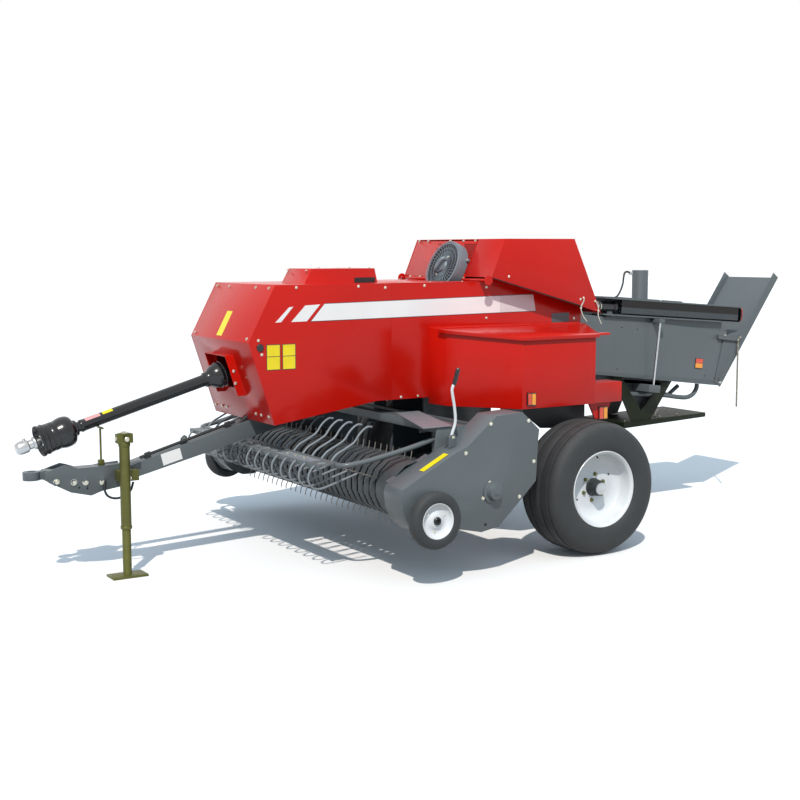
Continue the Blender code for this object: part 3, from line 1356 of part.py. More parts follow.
def build_chamber(machine: Body) -> None:
    """The bale chamber: an open-topped channel with lips, slotted below, and the chute's two pins."""
    half, wall, lip = CHAMBER_OUTSIDE_HALF, CHAMBER_WALL, CHAMBER_FLANGE
    height = CHAMBER_HEIGHT
    section = [
        (-half, 0.0),
        (half, 0.0),
        (half, height),
        (half - lip, height),
        (half - lip, height - wall),
        (half - wall, height - wall),
        (half - wall, wall),
        (wall - half, wall),
        (wall - half, height - wall),
        (lip - half, height - wall),
        (lip - half, height),
        (-half, height),
    ]
    channel = slab([section], "YZ", 0.0, CHAMBER_LENGTH)
    channel.data.transform(Matrix.Translation((CHAMBER_REAR_X, 0.0, CHAMBER_REAR_Z)))
    turned_about_y(channel, (CHAMBER_REAR_X, CHAMBER_REAR_Z), CHAMBER_PITCH)
    pins = []
    for side in SIDES.values():
        ends = (side * (half - wall / 2), side * (half + CHUTE_SIDE_GAP + SHEET + CHUTE_PIN_RADIUS))
        pins.append(across(CHUTE_PIN_RADIUS, CHUTE_PIVOT_X, CHUTE_PIVOT_Z, min(ends), max(ends), 16))
    channel = joined(channel, *pins)
    feed_start = CHAMBER_LENGTH - FEED_OPENING_FROM_FRONT
    feed = chamber_block(
        (feed_start, wall * 2 - half, -CUT_OVERRUN),
        (feed_start + FEED_OPENING_LENGTH, half - wall * 2, CUT_OVERRUN),
    )
    slot_start = CHAMBER_LENGTH - NEEDLE_SLOT_FROM_FRONT
    slots = [
        chamber_block(
            (slot_start, side * NEEDLE_SLOT_Y - NEEDLE_SLOT_WIDTH / 2, -CUT_OVERRUN),
            (slot_start + NEEDLE_SLOT_LENGTH, side * NEEDLE_SLOT_Y + NEEDLE_SLOT_WIDTH / 2, CUT_OVERRUN),
        )
        for side in SIDES.values()
    ]
    machine.add(cut(channel, feed, *slots), "bale_chamber", GREY)


def on_tension_rails(obj: bpy.types.Object) -> bpy.types.Object:
    """Move a piece from the rails' own frame, whose origin is under their rear end, to its place."""
    x, z = along_chamber(0.0, CHAMBER_HEIGHT + TENSION_RAIL_RISE)
    obj.data.transform(Matrix.Translation((x, 0.0, z)))
    return turned_about_y(obj, (x, z), CHAMBER_PITCH - TENSION_RAIL_PITCH)


def build_tension_rails(machine: Body) -> None:
    """The two channel rails over the chamber, and the bars and rods that press them on the bale."""
    inner, web = TENSION_RAIL_OUTER_Y - TENSION_RAIL_WIDTH, TENSION_RAIL_WEB
    for label, side in SIDES.items():
        section = [
            (side * inner, 0.0),
            (side * TENSION_RAIL_OUTER_Y, 0.0),
            (side * TENSION_RAIL_OUTER_Y, web),
            (side * (inner + web), web),
            (side * (inner + web), TENSION_RAIL_HEIGHT - web),
            (side * TENSION_RAIL_OUTER_Y, TENSION_RAIL_HEIGHT - web),
            (side * TENSION_RAIL_OUTER_Y, TENSION_RAIL_HEIGHT),
            (side * inner, TENSION_RAIL_HEIGHT),
        ]
        rail = slab([section], "YZ", TENSION_RAIL_REAR, TENSION_RAIL_FRONT)
        machine.add(on_tension_rails(rail), f"tension_rail_{label}", DARK)
    front = TENSION_ROD_FROM_REAR + TENSION_BAR_LENGTH / 2
    bar_top = CHAMBER_HEIGHT + TENSION_RAIL_RISE - front * math.tan(TENSION_RAIL_PITCH) - FACE_GAP * 3
    upper = chamber_block(
        (front - TENSION_BAR_LENGTH, -TENSION_BAR_HALF, CHAMBER_HEIGHT + FACE_GAP),
        (front, TENSION_BAR_HALF, bar_top),
    )
    low_front = TENSION_ROD_FROM_REAR + LOWER_BAR_LENGTH / 2
    lower = chamber_block(
        (low_front - LOWER_BAR_LENGTH, -TENSION_BAR_HALF, -LOWER_BAR_DROP - LOWER_BAR_HEIGHT),
        (low_front, TENSION_BAR_HALF, -LOWER_BAR_DROP),
    )
    pieces = []
    for side in SIDES.values():
        path = [
            along_chamber(TENSION_ROD_FROM_REAR, CHAMBER_HEIGHT + CUT_OVERRUN),
            along_chamber(TENSION_ROD_FROM_REAR, -LOWER_BAR_DROP * 2),
        ]
        pieces.append(tube([(x, side * TENSION_ROD_Y, z) for x, z in path], TENSION_ROD_RADIUS))
        bend = LOWER_RAIL_REAR + LOWER_RAIL_DROP
        ends = [
            (TENSION_ROD_FROM_REAR, -LOWER_BAR_DROP - LOWER_BAR_HEIGHT / 2),
            (bend, -LOWER_RAIL_DROP - LOWER_RAIL_RADIUS),
            (LOWER_RAIL_REAR, -LOWER_RAIL_RADIUS * 2),
        ]
        path = [along_chamber(*end) for end in ends]
        pieces.append(tube([(x, side * LOWER_RAIL_Y, z) for x, z in path], LOWER_RAIL_RADIUS))
    machine.add(joined(upper, lower, *pieces), "tension_bars", DARK)


def build_oil_tank(machine: Body) -> None:
    """The small upright tank on its plate across the tension rails."""
    low = TENSION_RAIL_HEIGHT + FACE_GAP
    plate = on_tension_rails(
        block(
            (TANK_BASE_REAR, -TANK_BASE_HALF_WIDTH, low),
            (TANK_BASE_FRONT, TANK_BASE_HALF_WIDTH, low + PLATE),
        )
    )
    rise = TENSION_RAIL_RISE - TANK_FROM_REAR * math.tan(TENSION_RAIL_PITCH)
    x, z = along_chamber(TANK_FROM_REAR, CHAMBER_HEIGHT + rise)
    foot = z + TENSION_RAIL_HEIGHT + PLATE / 2
    tank = round_bar(TANK_RADIUS, foot, foot + TANK_HEIGHT, 24)
    tank.data.transform(Matrix.Translation((x, 0.0, 0.0)))
    machine.add(joined(plate, tank), "oil_tank", GREY)


def chute_point(out: float, up: float) -> Point2:
    """(X, Z) of a point on the folded chute, from its pin: out along its rails and up inside it."""
    c, s = math.cos(CHUTE_ANGLE), math.sin(CHUTE_ANGLE)
    return CHUTE_PIVOT_X - out * c + up * s, CHUTE_PIVOT_Z + out * s + up * c


def build_chute(chute: Body) -> None:
    """The folded bale chute: two side plates with gussets, and the floor between them."""
    low = -CHUTE_FLOOR_DROP - SHEET
    rail = low + CHUTE_RAIL_DEPTH
    lap = CHUTE_GUSSET_LAP
    gusset = (
        CHUTE_GUSSET_HEIGHT * math.cos(CHUTE_GUSSET_ANGLE),
        CHUTE_GUSSET_HEIGHT * math.sin(CHUTE_GUSSET_ANGLE),
    )
    side_outline = [
        (-lap, low),
        (CHUTE_LENGTH, low),
        (CHUTE_LENGTH, rail),
        (CHUTE_GUSSET_END, rail),
        gusset,
        (-lap, lap),
    ]
    inner = CHAMBER_OUTSIDE_HALF + CHUTE_SIDE_GAP
    outer = inner + SHEET
    under = bar_section(
        (CHUTE_FLOOR_START, low + SHEET / 2), (CHUTE_LENGTH - SHEET, SHEET / 2 - CHUTE_FLOOR_DROP)
    )
    floor = slab([[chute_point(*p) for p in under]], "XZ", -inner - SHEET / 2, inner + SHEET / 2)
    pieces = []
    placed = [chute_point(*p) for p in side_outline]
    for side in SIDES.values():
        faces = (side * inner, side * outer)
        pieces.append(slab([placed], "XZ", min(faces), max(faces)))
    made = joined(floor, *pieces)
    hole = across(CHUTE_PIN_RADIUS + CHUTE_PIN_GAP, CHUTE_PIVOT_X, CHUTE_PIVOT_Z,
                  -outer - CUT_OVERRUN, outer + CUT_OVERRUN, 16)
    chute.add(cut(made, hole), "bale_chute", GREY)


def build_chain(machine: Body) -> None:
    """The chute's chain, hanging from the end of its arm on the chamber's left wall."""
    height = CHAMBER_HEIGHT - CHAIN_ARM_HEIGHT
    inner = CHAMBER_OUTSIDE_HALF + CHUTE_SIDE_GAP + SHEET + CHAIN_ARM_GAP
    outer = inner + CHAIN_ARM_THICKNESS
    strip = bar_section((-CHAIN_BACK, height - CHAIN_ARM_HEIGHT), (CHAIN_ARM_LAP, height))
    arm = chamber_slab([strip], inner, outer)
    spacer = chamber_slab(
        [bar_section((CHAIN_ARM_LAP / 2, height - CHAIN_ARM_HEIGHT), (CHAIN_ARM_LAP, height))],
        CHAMBER_OUTSIDE_HALF + FACE_GAP,
        inner + CHAIN_ARM_THICKNESS / 2,
    )
    machine.add(joined(arm, spacer), "chain_arm", DARK)
    x, z = along_chamber(-CHAIN_BACK + CHAIN_RADIUS * 2, height - CHAIN_ARM_HEIGHT)
    top = z - FACE_GAP * 4
    points = 8
    drop = [top - CHAIN_LENGTH * i / (points - 1) for i in range(points)]
    machine.add(tube([(x, (inner + outer) / 2, at) for at in drop], CHAIN_RADIUS, 2), "chute_chain", STEEL)


def build_needle_guard(machine: Body) -> None:
    """The V-shaped plates and the tray that keep the needles off the ground."""
    apex_x = along_chamber(GUARD_APEX, 0.0)[0]
    tray_z = CHAMBER_REAR_Z - GUARD_TRAY_DROP
    front = along_chamber(GUARD_TOP_FRONT, -FACE_GAP)
    front_inside = along_chamber(GUARD_TOP_FRONT - GUARD_LEG_WIDTH, -FACE_GAP)
    rear = along_chamber(GUARD_TOP_REAR, -FACE_GAP)
    rear_inside = along_chamber(GUARD_TOP_REAR + GUARD_LEG_WIDTH, -FACE_GAP)
    half = GUARD_LEG_WIDTH / 2
    vee = [
        front,
        front_inside,
        (apex_x, tray_z + half * 2),
        rear_inside,
        rear,
        (apex_x - half * 2, tray_z),
        (apex_x + half * 2, tray_z),
    ]
    plates = []
    for side in SIDES.values():
        faces = (side * GUARD_PLATE_Y, side * (GUARD_PLATE_Y - GUARD_PLATE_THICKNESS))
        plates.append(slab([vee], "XZ", min(faces), max(faces)))
    tray = [
        (apex_x + GUARD_TRAY_AHEAD, tray_z - GUARD_TRAY_THICKNESS),
        (apex_x + GUARD_TRAY_AHEAD, tray_z + PLATE),
        (apex_x - GUARD_TRAY_BEHIND, tray_z + GUARD_TRAY_RISE),
        (apex_x - GUARD_TRAY_BEHIND, tray_z + GUARD_TRAY_RISE - GUARD_TRAY_THICKNESS),
    ]
    base = slab([tray], "XZ", -GUARD_TRAY_HALF_WIDTH, GUARD_TRAY_HALF_WIDTH)
    machine.add(joined(base, *plates), "needle_guard", DARK)


def build_knotters(machine: Body) -> None:
    """The two knotters as blocks on their deck over the chamber."""
    deck = block(
        (DECK_REAR_X, SHEET * 2 - SHIELD_HALF_WIDTH, DECK_Z),
        (DECK_FRONT_X, SHIELD_HALF_WIDTH - SHEET * 2, DECK_Z + DECK_THICKNESS),
    )
    pieces = []
    middle = (DECK_FRONT_X + DECK_REAR_X) / 2
    for side in SIDES.values():
        pieces.append(
            block(
                (middle - KNOTTER_LENGTH / 2, side * KNOTTER_Y - KNOTTER_WIDTH / 2, DECK_Z + SHEET),
                (middle + KNOTTER_LENGTH / 2, side * KNOTTER_Y + KNOTTER_WIDTH / 2, DECK_Z + KNOTTER_HEIGHT),
            )
        )
        for front in (DECK_FRONT_X, DECK_REAR_X + DECK_LEG):
            ahead = front - CHAMBER_REAR_X + CHAMBER_HEIGHT * math.sin(CHAMBER_PITCH)
            floor = along_chamber(ahead / math.cos(CHAMBER_PITCH), CHAMBER_HEIGHT)[1] + FACE_GAP
            outer = side * (CHAMBER_OUTSIDE_HALF - CHAMBER_WALL)
            pieces.append(
                block((front - DECK_LEG, outer, floor), (front, outer - side * DECK_LEG, DECK_Z + SHEET))
            )
    machine.add(joined(deck, *pieces), "knotter_deck", GREY)


def build_driveline(machine: Body) -> None:
    """Gearbox, flywheel and input stub as one closed mass on the frame's crosses."""
    low = RAIL_BOTTOM_Z + RAIL_HEIGHT - SHEET + FACE_GAP
    gearbox = block(
        (GEARBOX_REAR_X, -GEARBOX_WIDTH / 2, low),
        (GEARBOX_REAR_X + GEARBOX_LENGTH, GEARBOX_WIDTH / 2, low + GEARBOX_HEIGHT),
    )
    lay = Matrix.Translation((0.0, 0.0, PTO_JOINT_Z)) @ Matrix.Rotation(math.radians(90.0), 4, "Y")
    wheel = round_bar(FLYWHEEL_RADIUS, FLYWHEEL_REAR_X, FLYWHEEL_REAR_X + FLYWHEEL_WIDTH, 32)
    wheel.data.transform(lay)
    inside = GEARBOX_REAR_X + GEARBOX_LENGTH / 2
    shaft = round_bar(FLYWHEEL_SHAFT_RADIUS, inside, FLYWHEEL_REAR_X + FLYWHEEL_WIDTH / 2, 20)
    shaft.data.transform(lay)
    meets = math.degrees(math.acos(PTO_BALL_NECK_RADIUS / PTO_BALL_RADIUS))
    stub = turned(
        [
            *arc((0.0, PTO_JOINT_X), PTO_BALL_RADIUS, 90.0, -meets, 11),
            (PTO_BALL_NECK_RADIUS, PTO_JOINT_X - PTO_STUB_END_GAP),
            (PTO_STUB_RADIUS, PTO_JOINT_X - PTO_STUB_END_GAP),
            (PTO_STUB_RADIUS, FLYWHEEL_REAR_X),
            (0.0, FLYWHEEL_REAR_X),
        ],
        20,
    )
    stub.data.transform(lay)
    machine.add(joined(gearbox, wheel, shaft, stub), "driveline_block", DARK)


def rim_height(y: float) -> float:
    """Height of a twine box's rim at a distance from the middle."""
    share = (y - twine_inner_y()) / (TWINE_OUTER_Y - twine_inner_y())
    return TWINE_RIM_INNER_Z + (TWINE_RIM_OUTER_Z - TWINE_RIM_INNER_Z) * share


def twine_inner_y() -> float:
    """A twine box's inner wall lies against the side panel."""
    return SHIELD_HALF_WIDTH + FACE_GAP


def twine_plan() -> list[Point2]:
    """The left twine box seen from above."""
    return [
        (TWINE_FRONT_X, twine_inner_y()),
        (TWINE_FRONT_CORNER_X, TWINE_FRONT_CORNER_Y),
        (TWINE_OUTER_FRONT_X, TWINE_OUTER_Y),
        (TWINE_OUTER_REAR_X, TWINE_OUTER_Y),
        (TWINE_REAR_X, twine_inner_y()),
    ]


def mirrored(obj: bpy.types.Object, side: int) -> bpy.types.Object:
    """The piece itself on the left, or its mirror image on the right."""
    if side < 0:
        work = bmesh.new()
        work.from_mesh(obj.data)
        bmesh.ops.transform(work, matrix=Matrix.Diagonal((1.0, -1.0, 1.0, 1.0)), verts=work.verts)
        bmesh.ops.reverse_faces(work, faces=work.faces)
        work.to_mesh(obj.data)
        work.free()
    return obj


def above_rim(drop: float, low_y: float, high_y: float) -> bpy.types.Object:
    """Everything over a twine box's sloping rim, less a drop, as a cutter."""
    outline = [
        (low_y, rim_height(low_y) - drop),
        (high_y, rim_height(high_y) - drop),
        (high_y, TWINE_CUT_TOP_Z + CUT_OVERRUN),
        (low_y, TWINE_CUT_TOP_Z + CUT_OVERRUN),
    ]
    return slab([outline], "YZ", TWINE_REAR_X - CUT_OVERRUN * 2, TWINE_FRONT_X + CUT_OVERRUN)


def build_twine_boxes(machine: Body, lids: dict[str, Body]) -> None:
    """A twine box with its lamp box and bracket on each side, and its sloping lid."""
    plan = twine_plan()
    inner_y, outer_y = twine_inner_y() - CUT_OVERRUN, TWINE_OUTER_Y + CUT_OVERRUN * 2
    for label, side in SIDES.items():
        shell = cut(slab([plan], "XY", TWINE_BOTTOM_Z, TWINE_CUT_TOP_Z), above_rim(0.0, inner_y, outer_y))
        lamp = block(
            (LAMP_BOX_REAR_X, TWINE_OUTER_Y - SHEET - LAMP_BOX_WIDTH, LAMP_BOX_TOP_Z - LAMP_BOX_HEIGHT),
            (LAMP_BOX_REAR_X + LAMP_BOX_LENGTH, TWINE_OUTER_Y - SHEET, LAMP_BOX_TOP_Z),
        )
        taper = (LAMP_BRACKET_TOP_LENGTH - LAMP_BRACKET_BOTTOM_LENGTH) / 2
        bracket_top = LAMP_BOX_TOP_Z - LAMP_BOX_HEIGHT + SHEET
        bracket = slab(
            [
                [
                    (LAMP_BRACKET_FRONT_X, bracket_top),
                    (LAMP_BRACKET_FRONT_X - LAMP_BRACKET_TOP_LENGTH, bracket_top),
                    (LAMP_BRACKET_FRONT_X - LAMP_BRACKET_TOP_LENGTH + taper, LAMP_BRACKET_BOTTOM_Z),
                    (LAMP_BRACKET_FRONT_X - taper, LAMP_BRACKET_BOTTOM_Z),
                ]
            ],
            "XZ",
            LAMP_BRACKET_Y,
            LAMP_BRACKET_Y + LAMP_BRACKET_THICKNESS,
        )
        shell = joined(shell, lamp, bracket)
        room = inset(plan, SHEET)
        cavity = cut(
            slab([room], "XY", TWINE_BOTTOM_Z + SHEET, TWINE_CUT_TOP_Z), above_rim(SHEET, inner_y, outer_y)
        )
        mouth = cut(
            slab([room], "XY", TWINE_BOTTOM_Z + LAMP_BOX_HEIGHT, TWINE_CUT_TOP_Z),
            block(
                (TWINE_REAR_X - CUT_OVERRUN, inner_y, TWINE_BOTTOM_Z),
                (TWINE_FRONT_X + CUT_OVERRUN, LID_HINGE_Y + LID_SEAT, TWINE_CUT_TOP_Z + CUT_OVERRUN),
            ),
        )
        machine.add(mirrored(cut(shell, cavity, mouth), side), f"twine_box_{label}", RED)
        lids[label].add(mirrored(lid_shape(plan), side), f"twine_lid_{label}", RED)


def lid_slope() -> float:
    """Angle at which a lid slopes down outwards."""
    return math.atan2(TWINE_RIM_INNER_Z - TWINE_RIM_OUTER_Z, TWINE_OUTER_Y - twine_inner_y())


def lid_axis() -> Point2:
    """(Y, Z) of the left lid's hinge bar."""
    along = LID_HINGE_Y - twine_inner_y()
    above = LID_LIP + FACE_GAP + LID_HINGE_RADIUS
    c, s = math.cos(lid_slope()), math.sin(lid_slope())
    start_z = rim_height(twine_inner_y()) - LID_LIP + LID_HINGE_CLEARANCE
    return twine_inner_y() + along * c + above * s, start_z - along * s + above * c


def lid_shape(plan: Sequence[Point2]) -> bpy.types.Object:
    """The left lid: a sloping sheet with a lip round the box, its hinge bar and the latch handle."""
    over = inset(plan, -LID_OVERHANG)
    pocket = inset(plan, -LID_OVERHANG + LID_LIP_THICKNESS)
    top = slab([over], "XY", 0.0, LID_LIP + SHEET)
    under = slab([pocket], "XY", -CUT_OVERRUN, LID_LIP)
    behind = block(
        (TWINE_REAR_X - CUT_OVERRUN * 3, 0.0, -CUT_OVERRUN * 2),
        (TWINE_FRONT_X + CUT_OVERRUN * 3, LID_HINGE_Y, CUT_OVERRUN * 2),
    )
    lid = cut(top, under, behind)
    rear = TWINE_OUTER_REAR_X - LID_OVERHANG
    handle = block(
        (rear - LID_HANDLE_LENGTH, TWINE_OUTER_Y - LID_HANDLE_WIDTH, LID_LIP - LID_HANDLE_THICKNESS / 2),
        (rear - LID_LIP_THICKNESS, TWINE_OUTER_Y, LID_LIP + LID_HANDLE_THICKNESS / 2),
    )
    end_gap = LID_HINGE_RADIUS * 3
    bar = round_bar(LID_HINGE_RADIUS, LID_REAR_X + end_gap, TWINE_FRONT_CORNER_X - end_gap, 10)
    bar.data.transform(
        Matrix.Translation((0.0, LID_HINGE_Y, LID_LIP + FACE_GAP + LID_HINGE_RADIUS))
        @ Matrix.Rotation(math.radians(90.0), 4, "Y")
    )
    lid = joined(lid, handle, bar)
    # The sheet comes to rest a gap above the rim: its flat shape is laid on the rim's slope.
    lift = rim_height(twine_inner_y()) - LID_LIP + LID_HINGE_CLEARANCE
    centre = Vector((0.0, twine_inner_y(), 0.0))
    lid.data.transform(
        Matrix.Translation(centre + Vector((0.0, 0.0, lift)))
        @ Matrix.Rotation(-lid_slope(), 4, "X")
        @ Matrix.Translation(-centre)
    )
    return lid


def cover_outline() -> list[Point2]:
    """The pickup's end cover from the side: its edge, and the arc round the reel."""
    bend = arc((REEL_X, REEL_Z), TINE_TIP_RADIUS, COVER_ARC_START, COVER_ARC_END, COVER_ARC_POINTS)
    return list(COVER_EDGE) + bend


def side_plate_faces() -> Point2:
    """The inner and outer Y of the pickup's left side plate."""
    outer = SIDE_OUTER_Y - SIDE_DEPTH - FACE_GAP
    return outer - PLATE, outer


def build_end_covers(pickup: Body) -> None:
    """The end covers, with the auger's hub plate and the gauge wheel's stub."""
    outline = cover_outline()
    for label, side in SIDES.items():
        face = SIDE_OUTER_Y - SIDE_DEPTH
        shell = slab([outline], "XZ", face, SIDE_OUTER_Y)
        hollow = slab([inset(outline, SHEET)], "XZ", face - CUT_OVERRUN, SIDE_OUTER_Y - SHEET)
        shell = cut(shell, hollow)
        start = SIDE_OUTER_Y - SHEET / 2
        plate = across(HUB_PLATE_RADIUS, AUGER_X, AUGER_Z, start, SIDE_OUTER_Y + HUB_PLATE_THICKNESS, 20)
        boss = across(HUB_BOSS_RADIUS, AUGER_X, AUGER_Z, start, SIDE_OUTER_Y + HUB_BOSS_LENGTH, 16)
        stub_end = GAUGE_CENTRE_Y - GAUGE_HUB_HALF + GAUGE_BORE_DEPTH - GAUGE_AXLE_RADIUS / 2
        stub = across(GAUGE_AXLE_RADIUS, GAUGE_X, GAUGE_Z, start, stub_end, 16)
        flange = across(GAUGE_HUB_RADIUS, GAUGE_X, GAUGE_Z, start, SIDE_OUTER_Y + PLATE, 16)
        pickup.add(mirrored(joined(shell, plate, boss, stub, flange), side), f"pickup_end_{label}", GREY)


def build_gauge_wheel(body: Body, label: str, side: int) -> None:
    """A small plain wheel whose hub turns on the stub of the end cover."""
    half = GAUGE_WIDTH / 2
    web = half - GAUGE_DISH
    bore = GAUGE_AXLE_RADIUS + GAUGE_AXLE_GAP
    profile = [
        (0.0, GAUGE_HUB_HALF),
        (GAUGE_HUB_RADIUS, GAUGE_HUB_HALF),
        (GAUGE_HUB_RADIUS, web),
        (GAUGE_BEAD_RADIUS - GAUGE_AXLE_GAP, web),
        *tyre_outline(GAUGE_RADIUS, GAUGE_BEAD_RADIUS, GAUGE_WIDTH),
        (GAUGE_BEAD_RADIUS - GAUGE_AXLE_GAP, -web),
        (GAUGE_HUB_RADIUS, -web),
        (GAUGE_HUB_RADIUS, -GAUGE_HUB_HALF),
        (bore, -GAUGE_HUB_HALF),
        (bore, GAUGE_BORE_DEPTH - GAUGE_HUB_HALF),
        (0.0, GAUGE_BORE_DEPTH - GAUGE_HUB_HALF),
    ]
    wheel = on_y_axis(turned(profile, GAUGE_SEGMENTS), (GAUGE_X, side * GAUGE_CENTRE_Y, GAUGE_Z), side)
    body.add(wheel, f"gauge_wheel_{label}", RUBBER)


def build_pickup_frame(pickup: Body) -> None:
    """Side plates, beam, pan, back sheets and the pivot ears, with the pins that the rest turns on."""
    inner, outer = side_plate_faces()
    edge = list(COVER_EDGE)
    bend = arc((REEL_X, REEL_Z), TINE_TIP_RADIUS, COVER_ARC_START, COVER_ARC_END, COVER_ARC_POINTS)
    outline = [edge[0], *SIDE_EAR, *edge[3:], *bend]
    pieces = []
    for side in SIDES.values():
        faces = (side * inner, side * outer)
        plate = slab([inset(outline, COVER_EDGE_INSET)], "XZ", min(faces), max(faces))
        pin_ends = (side * (inner + PLATE / 2), side * (inner - BEARING_LENGTH))
        shafts = [
            across(BEARING_RADIUS, REEL_X, REEL_Z, min(pin_ends), max(pin_ends)),
            across(BEARING_RADIUS, AUGER_X, AUGER_Z, min(pin_ends), max(pin_ends)),
        ]
        guard_ends = (side * (inner + PLATE / 2), side * (GUARD_ARM_Y - GUARD_BOSS_LENGTH / 2 - SHEET))
        low, high = min(guard_ends), max(guard_ends)
        shafts.append(across(GUARD_PIN_RADIUS, GUARD_PIVOT_X, GUARD_PIVOT_Z, low, high, 16))
        sheet_ends = (side * THROAT_HALF_WIDTH, side * (inner + PLATE / 2))
        back = block(
            (PAN_REAR_X, min(sheet_ends), PAN_Z - SHEET),
            (PAN_REAR_X + SHEET, max(sheet_ends), BACK_TOP_Z - PLATE),
        )
        ear_y = rail_inner_y() + RAIL_WIDTH + SPIN_END_GAP
        ear_ends = (side * ear_y, side * (ear_y + HANGER_PLATE))
        ear = block(
            (PICKUP_PIVOT_X - PICKUP_EAR_LENGTH, min(ear_ends), PICKUP_PIVOT_Z - PICKUP_EAR_HALF_HEIGHT),
            (PAN_REAR_X + BACK_RAIL_LENGTH / 2, max(ear_ends), PICKUP_PIVOT_Z + PICKUP_EAR_HALF_HEIGHT),
        )
        reach = (side * (ear_y + HANGER_PLATE / 2), side * (ear_y - SPIN_END_GAP - HANGER_PLATE))
        pin = across(PICKUP_PIN_RADIUS, PICKUP_PIVOT_X, PICKUP_PIVOT_Z, min(reach), max(reach))
        pieces += [joined(plate, *shafts), back, joined(ear, pin)]
    beam = block(
        (BEAM_X - BEAM_LENGTH / 2, -inner - PLATE / 2, BEAM_Z - BEAM_HEIGHT / 2),
        (BEAM_X + BEAM_LENGTH / 2, inner + PLATE / 2, BEAM_Z + BEAM_HEIGHT / 2),
    )
    rail = block(
        (PAN_REAR_X, -inner - PLATE / 2, BACK_RAIL_BOTTOM_Z),
        (PAN_REAR_X + BACK_RAIL_LENGTH, inner + PLATE / 2, BACK_TOP_Z),
    )
    pan = block(
        (PAN_REAR_X, -inner - PLATE / 2, PAN_Z - SHEET), (BAND_TAIL_X - FACE_GAP, inner + PLATE / 2, PAN_Z)
    )
    pickup.add(joined(rail, beam, pan, *pieces), "pickup_frame", GREY)


def build_bands(pickup: Body) -> None:
    """The curved sheet round the reel, slotted for the tines, which leaves the stripper bands."""
    outer = [
        (BAND_TAIL_X, BAND_TAIL_TOP_Z),
        *arc((REEL_X, REEL_Z), BAND_RADIUS, BAND_ARC_START, BAND_ARC_END, BAND_ARC_POINTS),
        (BAND_TAIL_X, REEL_Z - BAND_RADIUS),
    ]
    within = BAND_RADIUS - BAND_SHEET
    inner = [
        (BAND_TAIL_X, BAND_TAIL_TOP_Z - BAND_SHEET),
        *arc((REEL_X, REEL_Z), within, BAND_ARC_START, BAND_ARC_END, BAND_ARC_POINTS),
        (BAND_TAIL_X, REEL_Z - within),
    ]
    reach = side_plate_faces()[0] - FACE_GAP
    sheet = slab([outer + inner[::-1]], "XZ", -reach, reach)
    first = -BAND_PITCH * (BAND_COUNT - 2) / 2
    slots = [
        block(
            (BAND_SLOT_START_X, first + BAND_PITCH * i - BAND_SLOT / 2, REEL_Z - TINE_TIP_RADIUS),
            (REEL_X + TINE_TIP_RADIUS, first + BAND_PITCH * i + BAND_SLOT / 2, REEL_Z + TINE_TIP_RADIUS),
        )
        for i in range(BAND_COUNT - 1)
    ]
    pickup.add(cut(sheet, gathered(slots)), "stripper_bands", GREY)


def comb_outline(first_slot: int) -> list[Point2]:
    """A tine bar with a tine in every second slot, as (Y, distance from the reel's axis)."""
    low, high = TINE_BAR_RADIUS - TINE_BAR_THICKNESS / 2, TINE_BAR_RADIUS + TINE_BAR_THICKNESS / 2
    points = [(-REEL_COMB_HALF, low), (REEL_COMB_HALF, low), (REEL_COMB_HALF, high)]
    first = BAND_PITCH * (BAND_COUNT - 2) / 2
    for i in range(first_slot, BAND_COUNT - 1, 2):
        y = first - BAND_PITCH * i
        points += [
            (y + TINE_WIDTH / 2, high),
            (y + TINE_WIDTH / 2, TINE_TIP_RADIUS),
            (y - TINE_WIDTH / 2, TINE_TIP_RADIUS),
            (y - TINE_WIDTH / 2, high),
        ]
    return points + [(-REEL_COMB_HALF, high)]


def build_reel(reel: Body) -> None:
    """The shaft, its spiders and the tine bars, made about the origin and moved to the reel's axis."""
    end = side_plate_faces()[0] - SPIN_END_GAP
    shaft = across(REEL_SHAFT_RADIUS, 0.0, 0.0, -end, end)
    pieces = []
    thin = REEL_SPIDER_THICKNESS / 2
    for y in (REEL_SPIDER_INSET - REEL_COMB_HALF, 0.0, REEL_COMB_HALF - REEL_SPIDER_INSET):
        pieces.append(across(REEL_SPIDER_RADIUS, 0.0, 0.0, y - thin, y + thin, 16))
    for number in range(TINE_BARS):
        comb = slab([comb_outline(number % 2)], "YZ", -TINE_WIDTH / 2, TINE_WIDTH / 2)
        comb.data.transform(Matrix.Rotation(math.tau * (number + 0.5) / TINE_BARS, 4, "Y"))
        pieces.append(comb)
    made = joined(shaft, *pieces)
    made = bored_end(bored_end(made, 0.0, 0.0, end), 0.0, 0.0, -end)
    made.data.transform(Matrix.Translation((REEL_X, 0.0, REEL_Z)))
    reel.add(made, "tine_reel", STEEL)


def build_auger(body: Body, label: str, side: int) -> None:
    """A stub auger: a core with tilted discs as its flighting, on a bearing pin of the side plate."""
    end = side_plate_faces()[0] - SPIN_END_GAP
    core = across(AUGER_CORE_RADIUS, AUGER_X, AUGER_Z, AUGER_INNER_Y, end, 14)
    pieces = []
    pitch = (end - AUGER_INNER_Y) / AUGER_FLIGHTS
    for number in range(AUGER_FLIGHTS):
        disc = round_bar(AUGER_FLIGHT_RADIUS, -AUGER_FLIGHT_THICKNESS / 2, AUGER_FLIGHT_THICKNESS / 2, 16)
        lay = Matrix.Rotation(math.radians(90.0), 4, "X") @ Matrix.Rotation(AUGER_TILT, 4, "Y")
        y = AUGER_INNER_Y + pitch * (number + 0.5)
        disc.data.transform(Matrix.Translation((AUGER_X, y, AUGER_Z)) @ lay)
        pieces.append(disc)
    made = bored_end(joined(core, *pieces), AUGER_X, AUGER_Z, end)
    body.add(mirrored(made, side), f"auger_{label}", STEEL)


